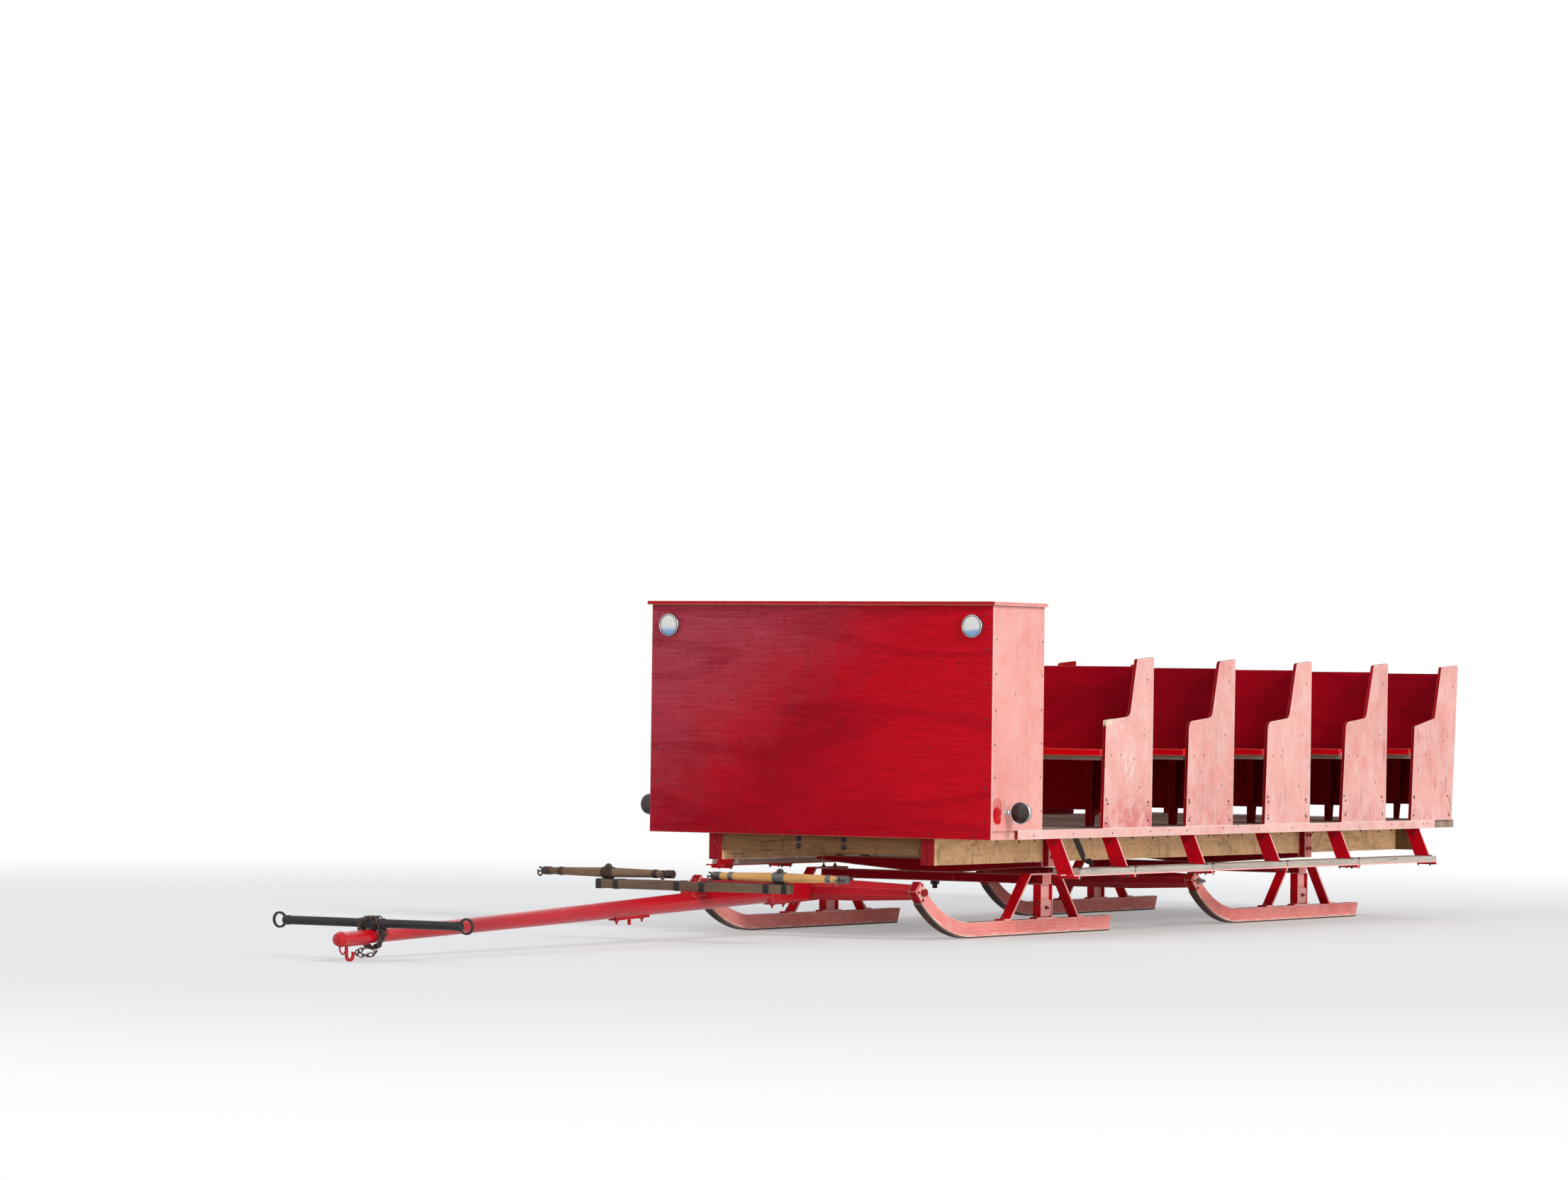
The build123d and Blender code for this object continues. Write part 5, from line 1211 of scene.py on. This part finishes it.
# %% Sill straps
STRAP_TOP, STRAP_LOW = np.array([-1.547, 0.6965, 0.527]), np.array([-1.661, 0.6965, 0.400])
fall = np.linspace(0, 1, 6)[:, None]
turn = np.linspace(0, pi / 2, 6)[1:, None]
down = STRAP_TOP + fall * (STRAP_LOW - STRAP_TOP)
bend = STRAP_LOW + (1 - np.cos(turn)) * [0, 0.016, 0] + np.sin(turn) * [-0.010, 0, -0.016]
foot = bend[-1] + np.array([[0, 0.012, 0], [0, 0.030, 0.001]])
strap_path = np.vstack([down, bend, foot]) + [FRONT_X, 0, 0]
sill_strap = swept(strap_path, oval(0.0022, 0.023, 16, 0.3), (1, 0, 0.9))
STRAP_OUT, STRAP_NAILS = 0.0048, ((1.556, 0.516), (1.60, 0.468))
strap_nails = on_sides(NAIL_HEAD, [(FRONT_X - back, SILL_Y + STRAP_OUT, z) for back, z in STRAP_NAILS])
sill_straps = joined(sill_strap, flipped(sill_strap), strap_nails)
piece("sill_straps", sill_straps, "body", black_iron, 50)

# %% [markdown]
# ## Lamps
# The headlamps are shallow sealed bowls with a double chrome ring and a glass whose upright flutes
# spread the beam: the glass is a low dome with a cosine ripple across it. The side lamps are deep
# bowls on ball studs, with a dark glass that looks forward. They stand for the CAD's plain bowls.

# %% Lamps
HEADLAMP_Y = SIDE_Y - 0.117
SIDE_LAMP_X, SIDE_LAMP_Y = FRONT_X - 0.185, SIDE_Y + 0.094
STUD_X = FRONT_X - 0.1466
HEAD_PROFILE = [
    (0.050, 0.0), (0.0600, 0.001), (0.0612, 0.004), (0.0612, 0.0075), (0.0592, 0.0095), (0.0588, 0.0115),
    (0.0600, 0.0130), (0.0610, 0.0155), (0.0608, 0.0200), (0.0592, 0.0232), (0.0568, 0.0240),
    (0.0550, 0.0228), (0.0545, 0.0190), (0.0520, 0.0120), (0.0400, 0.0070), (0.0180, 0.0045)]
SIDE_PROFILE = [
    (0.016, 0.0), (0.031, 0.0012), (0.0445, 0.0055), (0.0525, 0.0130), (0.0562, 0.0235), (0.0570, 0.0315),
    (0.0572, 0.0345), (0.0588, 0.0360), (0.0590, 0.0440), (0.0580, 0.0470), (0.0560, 0.0480),
    (0.0540, 0.0470), (0.0535, 0.0430)]
STUD_PROFILE = [
    (0.0150, 0.0), (0.0155, 0.0020), (0.0140, 0.0045), (0.0075, 0.0060), (0.0070, 0.0120), (0.0110, 0.0145),
    (0.0135, 0.0200), (0.0110, 0.0255), (0.0075, 0.0280), (0.0075, 0.0390)]
GASKET_PROFILE = [(0.0585, 0.0086), (0.0606, 0.0094), (0.0608, 0.0108), (0.0600, 0.0122), (0.0585, 0.0126)]
RING_PROFILE = [(0.0544, 0.0200), (0.0552, 0.0222), (0.0548, 0.0236), (0.0534, 0.0236), (0.0530, 0.0216)]


def fluted_glass(radius, low, crown, flute, pitch, rings=9, sides=56):
    """Height at radius r and place x across: low + crown (1 - r r / R R) + flute cos(2 pi x / pitch)."""
    out = np.linspace(1.0, 0.04, rings)[:, None]
    turn = 2 * pi * np.arange(sides)[None] / sides
    across, upward = radius * out * np.cos(turn), radius * out * np.sin(turn)
    high = low + crown * (1 - out ** 2) + flute * np.cos(2 * pi * across / pitch) * (1 - out ** 6)
    dome = np.stack([across, upward, high], axis=-1)
    rim = np.stack([across[0], upward[0], np.full(sides, low - 0.002)], axis=-1)
    return skin(np.concatenate([rim[None], dome]))


head_places = [(FRONT_X, side * HEADLAMP_Y, HEADLAMP_Z) for side in SIDES]
side_places = [(SIDE_LAMP_X, side * SIDE_LAMP_Y, SIDE_LAMP_Z) for side in SIDES]
studs = on_sides(lathed(STUD_PROFILE, 20), [(STUD_X, SIDE_Y, SIDE_LAMP_Z)])
gaskets = joined(*[copies(ring(profile), head_places, FORWARD) for profile in (GASKET_PROFILE, RING_PROFILE)])
piece("lamp_gaskets", gaskets, "body", black_iron, 50)
bodies = joined(copies(lathed(HEAD_PROFILE, 48), head_places, FORWARD),
                copies(lathed(SIDE_PROFILE, 48), side_places, FORWARD), studs)
bowls = piece("lamp_bodies", bodies, "body", chrome, 50)
head_dome = fluted_glass(0.0548, low=0.0195, crown=0.0030, flute=0.0004, pitch=0.0095)
side_dome = fluted_glass(0.0538, low=0.0440, crown=0.0034, flute=0.0, pitch=0.02)
head_glass = piece("headlamp_glass", copies(head_dome, head_places, FORWARD), "body",
                   clear_glass)
piece("side_lamp_glass", copies(side_dome, side_places, FORWARD), "body", dark_glass)
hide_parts("lamp_bowls")
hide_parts("lamp_lenses")

# %% [markdown]
# ## Irons of the bob sleds
# Each bob has the same fittings, so one loop serves both: nuts where the trusses and posts stand on
# the runners, a cover plate with a nut on each post's outside, bolts round each roller bearing, and a
# nut on each end of the roller's steel journal. Most were painted over with the rest.

# %% Irons of the bob sleds
RUNNER_MID_Y = RUNNER_Y - 0.024
POST_HALF = 0.065
PLATE_LOW, PLATE_HIGH = 0.096, 0.185
SMALL_HEAD = hex_nut(0.014, 0.006, 0.0045, 0.001)
COVER_HALF_WIDE, COVER_THICK, COVER_NUT_Z = 0.055, 0.006, 0.142
FOOT_NUTS = ((0.442, 0.009), (-0.382, 0.009), (0.083, 0.008), (-0.083, 0.008))
BEAM_SEAT_Z, BEAM_NUT_ASIDE, FLANGE_NUT_Z = 0.329, 0.060, 0.165
NOSE_BOLTS = [(along, out) for along in (-0.031, 0.031) for out in (-0.026, 0.026)]
JOURNAL_R, JOURNAL_END_Y = 0.012, RUNNER_Y + 0.022
JOURNAL_RING = lathed([(0.0165, -0.0150), (0.0170, -0.0140), (0.0170, -0.0125), (0.0125, -0.0115)], 20)


def plate(wide, high, thick, bevel=0.0015):
    """A flat plate: four squarish outlines, of which the bevel draws in the first and the last."""
    outline = np.stack([oval(wide - b, high - b, 16, 0.22) for b in (bevel, 0.0, 0.0, bevel)])
    heights = np.array([0, bevel, thick - bevel, thick])[:, None, None]
    deep = np.broadcast_to(heights, outline.shape[:2] + (1,))
    return skin(np.concatenate([outline, deep], axis=-1))


for bob, pin_x in PINS.items():
    runner_nuts = [(pin_x + ahead, side * RUNNER_MID_Y, RUNNER_TOP_Z + rise)
                   for side in SIDES for ahead, rise in FOOT_NUTS]
    beam_nuts = [(pin_x + ahead, side * RUNNER_MID_Y, BEAM_SEAT_Z)
                 for side in SIDES for ahead in (BEAM_NUT_ASIDE, -BEAM_NUT_ASIDE)]
    flange_nuts = [(pin_x + POST_HALF, side * RUNNER_MID_Y, FLANGE_NUT_Z) for side in SIDES]
    cover_spot = [(pin_x, RUNNER_Y - 0.009, (PLATE_LOW + PLATE_HIGH) / 2)]
    cover = copies(plate(COVER_HALF_WIDE, (PLATE_HIGH - PLATE_LOW) / 2, COVER_THICK), cover_spot, LEFT)
    cover_nut = copies(BOLT_NUT, [(pin_x + 0.004, RUNNER_Y - 0.003, COVER_NUT_Z)], LEFT, 0.4)
    (low_x, _, low_z), (high_x, _, high_z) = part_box(bob + "_nose_irons")
    nose_x, nose_z = (low_x + high_x) / 2, (low_z + high_z) / 2
    lean = np.arctan2(nose_x - pin_x - BEND_AHEAD, BEND_R - nose_z)
    along, out = np.array([cos(lean), sin(lean)]), np.array([sin(lean), -cos(lean)])
    nose_rows = [(nose_x + u * along[0] + v * out[0], RUNNER_Y + 0.006, nose_z + u * along[1] + v * out[1])
                 for u, v in NOSE_BOLTS]
    parts = [copies(BOLT_NUT, runner_nuts, UP, spins(len(runner_nuts))), copies(BOLT_NUT, beam_nuts, UP),
             copies(BOLT_NUT, flange_nuts, FORWARD), cover_nut, flipped(cover_nut),
             on_sides(SMALL_HEAD, nose_rows)]
    piece(bob + "_fastenings", joined(*parts), bob, bolt_iron)
    piece(bob + "_cover_plates", joined(cover, flipped(cover)), bob, truss_iron)
    if bob == "front_bob":
        rides_on, finish, slot, stub = "pole", bolt_iron, "red_iron", 0.004
    else:
        rides_on, finish, slot, stub = bob, bright_steel, "shoe_steel", 0.026
    journal_end = joined(hex_nut(0.036, 0.014, JOURNAL_R * 0.8, stub), JOURNAL_RING)
    piece(bob + "_journal_nuts", on_sides(journal_end, [(nose_x, JOURNAL_END_Y - 0.004, nose_z)]),
          rides_on, finish)

# %% [markdown]
# ## Irons of the pole
# The pole lies parked on its hook, tipped a little down. A place on it is given by its length from
# the roller's axis, its place across and its height over the pole's own axis, and is then turned by
# the parked angle. Bolts hold the strap that wraps the roller and the iron under the middle, and a
# red V of rod hangs at the tip, ahead of the hook.

# %% Irons of the pole
PARKED = radians(2.020588)
roller_low, roller_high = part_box("rear_bob_roller")
ROLLER_X = (roller_low.x + roller_high.x) / 2 + PINS["front_bob"] - PINS["rear_bob"]
ROLLER_Z = (roller_low.z + roller_high.z) / 2


def on_pole(places):
    """(s, y, h) along, across and over the pole's axis, as a place in the frame."""
    s, y, h = np.asarray(places, float).reshape(-1, 3).T
    return np.stack([ROLLER_X + s * cos(PARKED) + h * sin(PARKED), y,
                     ROLLER_Z - s * sin(PARKED) + h * cos(PARKED)], axis=-1)


POLE_UP = np.array([sin(PARKED), 0, cos(PARKED)])
BUTT_OUT, BUTT_BOLTS = 0.060, (0.13, 0.235, 0.345)
UNDER_OUT, UNDER_BOLTS = 0.0535, (1.585, 1.815)
V_ROD_R = 0.0042
V_ROD = ((4.152, -0.026), (4.150, -0.040), (4.143, -0.058), (4.132, -0.070), (4.122, -0.071),
         (4.112, -0.064), (4.104, -0.058))
butt_tops = on_pole([(s, 0, BUTT_OUT) for s in BUTT_BOLTS])
nut_spots = on_pole([(s, 0, -BUTT_OUT) for s in BUTT_BOLTS] + [(s, 0, -UNDER_OUT) for s in UNDER_BOLTS])
v_loop = swept(on_pole([(s, 0, h) for s, h in V_ROD]), oval(V_ROD_R, V_ROD_R, 8, 1.0), LEFT)
pole_bolts = joined(copies(BOLT_HEAD, butt_tops, POLE_UP, spins(len(BUTT_BOLTS))),
                    copies(BOLT_NUT, nut_spots, -POLE_UP), v_loop)
piece("pole_fastenings", pole_bolts, "pole", pole_iron)

# %% [markdown]
# ## Evener bands
# Flat iron bands are shrunk on the evener so that its bolts can't split it. A band is a flat section
# carried round a squarish loop. The singletrees' pivot bolts belong here too: each has a thick washer
# between the two bars and a nut on top.

# %% Evener bands
EVENER_S, EVENER_MID_H = 1.100, 0.0768
EVENER_MID_HALF, EVENER_END_HALF, EVENER_LENGTH_HALF, EVENER_HALF_HIGH = 0.0475, 0.032, 0.580, 0.0225
BAND_HALF_THICK, BAND_YS, LOOP_STEPS = 0.0016, (0.455, 0.562, 0.075), 32


def evener_band(y, wide=0.016):
    """A loop at y round the bar, whose half width shrinks evenly from its middle to its end."""
    half = EVENER_MID_HALF + (EVENER_END_HALF - EVENER_MID_HALF) * abs(y) / EVENER_LENGTH_HALF
    loop = oval(half + BAND_HALF_THICK, EVENER_HALF_HIGH + BAND_HALF_THICK, LOOP_STEPS, 0.22)
    path = np.stack([EVENER_S + loop[:, 0], np.full(LOOP_STEPS, y), EVENER_MID_H + loop[:, 1]], axis=-1)
    return swept(on_pole(path), oval(BAND_HALF_THICK, wide, 8, 0.3), LEFT, looped=True)


bands = [evener_band(side * y) for side in SIDES for y in BAND_YS]
EVENER_TOP_H = EVENER_MID_H + EVENER_HALF_HIGH
WASHER_HIGH, TREE_HALF_HIGH = 0.0063, 0.028
TREE_H = EVENER_TOP_H + WASHER_HIGH + TREE_HALF_HIGH
big_washer = lathed([(0.0245, 0), (0.0250, 0.0008), (0.0250, 0.0055), (0.0240, 0.0062)], 24)
bolt_tops = on_pole([(EVENER_S, side * TREE_BOLT_Y, TREE_H + 0.0281) for side in SIDES])
washer_tops = on_pole([(EVENER_S, side * TREE_BOLT_Y, EVENER_TOP_H) for side in SIDES])
bands += [copies(hex_nut(0.0335, 0.0126, 0.0085, 0.006), bolt_tops, POLE_UP, 0.4),
          copies(big_washer, washer_tops, POLE_UP)]
piece("evener_bands", joined(*bands), "doubletree", black_iron, 50)

# %% [markdown]
# ## Singletree irons
# Each singletree has an iron sleeve round its middle, where the pivot bolt passes, a band on each
# arm and a cap on each tip. An open hook in each tip's eye takes a chain: its wire follows most of a
# circle, from one angle to another, and leaves the gap that the chain goes in by.

# %% Singletree irons
HOOK_MIDDLE, HOOK_R, HOOK_WIRE_R, HOOK_STEPS = 0.070, 0.021, 0.0048, 18
TIP_Y, BAND_Y = 0.4, 0.29
TREE_MIDDLE = lathed([(0.0285, -0.033), (0.0297, -0.031), (0.0297, 0.031), (0.0285, 0.033)], 28)
TREE_TIP = lathed([(0.0205, -0.047), (0.0214, -0.045), (0.0214, -0.002), (0.0200, 0.0006),
                   (0.0100, 0.0010)], 24)
TREE_BAND = lathed([(0.0205, -0.014), (0.0221, -0.012), (0.0221, 0.012), (0.0205, 0.014)], 20)
hook_turn = np.linspace(-0.6 * pi, 1.15 * pi, HOOK_STEPS) + pi
hook_path = np.stack([HOOK_MIDDLE + HOOK_R * np.cos(hook_turn), np.zeros(HOOK_STEPS),
                      HOOK_R * np.sin(hook_turn)], axis=-1)
for name, bolt_y, finish in (("singletree_left", TREE_BOLT_Y, dull_steel),
                             ("singletree_right", -TREE_BOLT_Y, rusty_iron)):
    parts = [copies(TREE_MIDDLE, on_pole([(EVENER_S, bolt_y, TREE_H)]), LEFT)]
    for side in SIDES:
        parts.append(copies(TREE_TIP, on_pole([(EVENER_S, bolt_y + side * TIP_Y, TREE_H)]), (0, side, 0)))
        path = on_pole(hook_path + [EVENER_S, bolt_y + side * EYE_Y, TREE_H])
        parts.append(swept(path, oval(HOOK_WIRE_R, HOOK_WIRE_R, 8, 1.0), LEFT))
        parts.append(copies(TREE_BAND, on_pole([(EVENER_S, bolt_y + side * BAND_Y, TREE_H)]), LEFT))
    piece(name + "_irons", joined(*parts), name, finish)

# %% [markdown]
# ## Neck yoke and its chain
# The yoke is a black tube with a sleeve round its middle and a cap on each end. A rusty chain is
# wound three times round the yoke and the pole, and its end hangs in a bight. A link is a round wire
# carried round a long oval; links are set along the chain's path at an even pitch, every second one
# turned square to its neighbours.

# %% Neck yoke and its chain
YOKE_S, YOKE_H, CAP_Y = 3.890, 0.0606, 0.507
WIND_HALF_Y, WIND_TOP, WIND_LOW, WIND_STEP, WIND_GATHER = 0.059, 0.088, -0.053, 0.026, 0.35
WINDS, BIGHT_OUT, BIGHT_DROP = 3, 0.075, 0.036
LINK_LONG, LINK_WIDE, LINK_WIRE, LINK_PITCH, LINK_STEPS = 0.0170, 0.0092, 0.0030, 0.0255, 16
sleeve_half = [(0.0215, 0.075), (0.0240, 0.072), (0.0246, 0.060), (0.0236, 0.052)]
sleeve = lathed([(r, -y) for r, y in sleeve_half] + [(0.0240, 0.0)] + sleeve_half[::-1], 24)
cap = lathed([(0.0215, -0.030), (0.0232, -0.028), (0.0232, -0.004), (0.0210, 0.0005), (0.0120, 0.0020)], 24)
caps = [copies(cap, on_pole([(YOKE_S, side * CAP_Y, YOKE_H)]), (0, side, 0)) for side in SIDES]
piece("yoke_fittings", joined(copies(sleeve, on_pole([(YOKE_S, 0, YOKE_H)]), LEFT), *caps),
      "neck_yoke", black_iron)


def link():
    """One link along Z: a round wire carried round an oval in the plane of X and Z."""
    loop = oval(LINK_WIDE, LINK_LONG, LINK_STEPS, 0.75)
    path = np.stack([loop[:, 0], np.zeros(LINK_STEPS), loop[:, 1]], axis=-1)
    return swept(path, oval(LINK_WIRE, LINK_WIRE, 6, 1.0), LEFT, looped=True)


def chain(path):
    """Links set along a path at the pitch, each turned along it and square to its neighbours."""
    steps = np.linalg.norm(np.diff(path, axis=0), axis=1)
    length = np.concatenate([[0], np.cumsum(steps)])
    stops = np.arange(0, length[-1], LINK_PITCH)
    places = np.stack([np.interp(stops, length, path[:, axis]) for axis in range(3)], axis=-1)
    ways = np.gradient(places, axis=0)
    turns = pi / 2 * (np.arange(len(stops)) % 2) + chance.normal(0, 0.15, len(stops)) + 0.3
    return copies(link(), places, ways, turns)


wind = np.linspace(0, WINDS, 120)
around = 2 * pi * wind - pi / 2
gathered = WIND_GATHER + (1 - WIND_GATHER) * (np.sin(around) + 1) / 2
wound = np.stack([YOKE_S + WIND_STEP * (wind - WINDS / 2) * gathered, WIND_HALF_Y * np.cos(around),
                  (WIND_TOP + WIND_LOW) / 2 + (WIND_TOP - WIND_LOW) / 2 * np.sin(around)], axis=-1)
hang = np.linspace(0, 1, 30)
swing = BIGHT_OUT * np.sin(pi * hang) ** 0.8 * np.cos(1.2 * pi * hang)
bight = np.stack([YOKE_S + 0.014 + 0.046 * hang, swing, WIND_LOW - BIGHT_DROP * np.sin(pi * hang)], axis=-1)
links = joined(chain(on_pole(wound)), chain(on_pole(bight)))
piece("yoke_chain", links, "neck_yoke", rusty_iron)

# %% [markdown]
# ## Floor and light
# A product is shown on a plain pale floor in soft light. The floor is one surface whose brightness
# runs out to white with distance, so no horizon cuts the picture, and it still takes the sleigh's
# shadow. A broad soft lamp from the sleigh's left stands for the low sun of the photograph.

# %% Floor, world and lamps
FLOOR_HALF = 150.0
FLOOR_DROP = 0.002
FADE_NEAR, FADE_FAR = 6.0, 15.0


def seen_directly(tree):
    """1 for rays from the camera, a mirror or through glass, which show the background as white."""
    path = put(tree, "LightPath").outputs
    return most(tree, most(tree, path["Is Camera Ray"], path["Is Glossy Ray"]), path["Is Transmission Ray"])


def pale_floor():
    """A matt floor that turns smoothly to plain white with the distance from its middle."""
    made = bpy.data.materials.new("pale floor")
    made.use_nodes = True
    tree = made.node_tree
    tree.nodes.clear()
    place = put(tree, "TexCoord").outputs["Object"]
    away = put(tree, "VectorMath", {0: place}, operation="LENGTH").outputs["Value"]
    far = ramped(tree, away, FADE_NEAR, FADE_FAR, 0.30, 1.0)
    matt = put(tree, "BsdfDiffuse", {"Color": (0.88, 0.885, 0.90, 1)}).outputs[0]
    white = put(tree, "Emission", {"Strength": 1.0}).outputs[0]
    shown = put(tree, "MixShader", {0: times(tree, far, seen_directly(tree)), 1: matt, 2: white})
    tree.links.new(shown.outputs[0], put(tree, "OutputMaterial").inputs["Surface"])
    return made


span = np.linspace(-FLOOR_HALF, FLOOR_HALF, 3)
floor_x, floor_y = np.meshgrid(span, span, indexing="ij")
corners = np.stack([floor_x, floor_y, np.full_like(floor_x, -FLOOR_DROP)], axis=-1).reshape(-1, 3)
quads = [(3 * i + j, 3 * i + 3 + j, 3 * i + 4 + j, 3 * i + 1 + j) for i in range(2) for j in range(2)]
floor_mesh = bpy.data.meshes.new("floor")
floor_mesh.from_pydata(corners.tolist(), [], quads)
floor_mesh.materials.append(pale_floor())
floor = bpy.data.objects.new("floor", floor_mesh)
bpy.context.scene.collection.objects.link(floor)

world = bpy.data.worlds.new("studio")
world.use_nodes = True
bpy.context.scene.world = world
air = world.node_tree
air.nodes.clear()
sky = put(air, "Background", {"Color": (0.93, 0.96, 1.0, 1), "Strength": 0.50}).outputs[0]
backdrop = put(air, "Background", {"Color": (1, 1, 1, 1), "Strength": 1.0}).outputs[0]
shown_air = put(air, "MixShader", {0: seen_directly(air), 1: sky, 2: backdrop})
air.links.new(shown_air.outputs[0], put(air, "OutputWorld").inputs["Surface"])


def soft_sun(name, towards, strength, spread, colour):
    """A far lamp that shines from the direction towards; spread is its size in degrees."""
    lamp = bpy.data.lights.new(name, "SUN")
    lamp.energy = strength
    lamp.angle = radians(spread)
    lamp.color = colour
    made = bpy.data.objects.new(name, lamp)
    back = np.array(towards) / np.linalg.norm(towards)
    side = np.cross([0, 0, 1], back)
    side /= np.linalg.norm(side)
    turn = np.eye(4)
    turn[:3, 0], turn[:3, 1], turn[:3, 2] = side, np.cross(back, side), back
    made.matrix_world = Matrix(turn.tolist())
    bpy.context.scene.collection.objects.link(made)


COOL = (0.93, 0.96, 1.0)
soft_sun("key", towards=(0.30, 0.80, 0.50), strength=1.22, spread=14, colour=(1.0, 0.97, 0.92))
soft_sun("low bounce", towards=(0.40, 0.92, 0.12), strength=0.74, spread=24, colour=(1.0, 0.97, 0.94))
soft_sun("fill", towards=(0.9, -0.55, 0.6), strength=0.5, spread=50, colour=COOL)
soft_sun("rear fill", towards=(-0.8, -0.4, 0.5), strength=0.4, spread=50, colour=COOL)
print("lamps", len(bpy.data.lights))
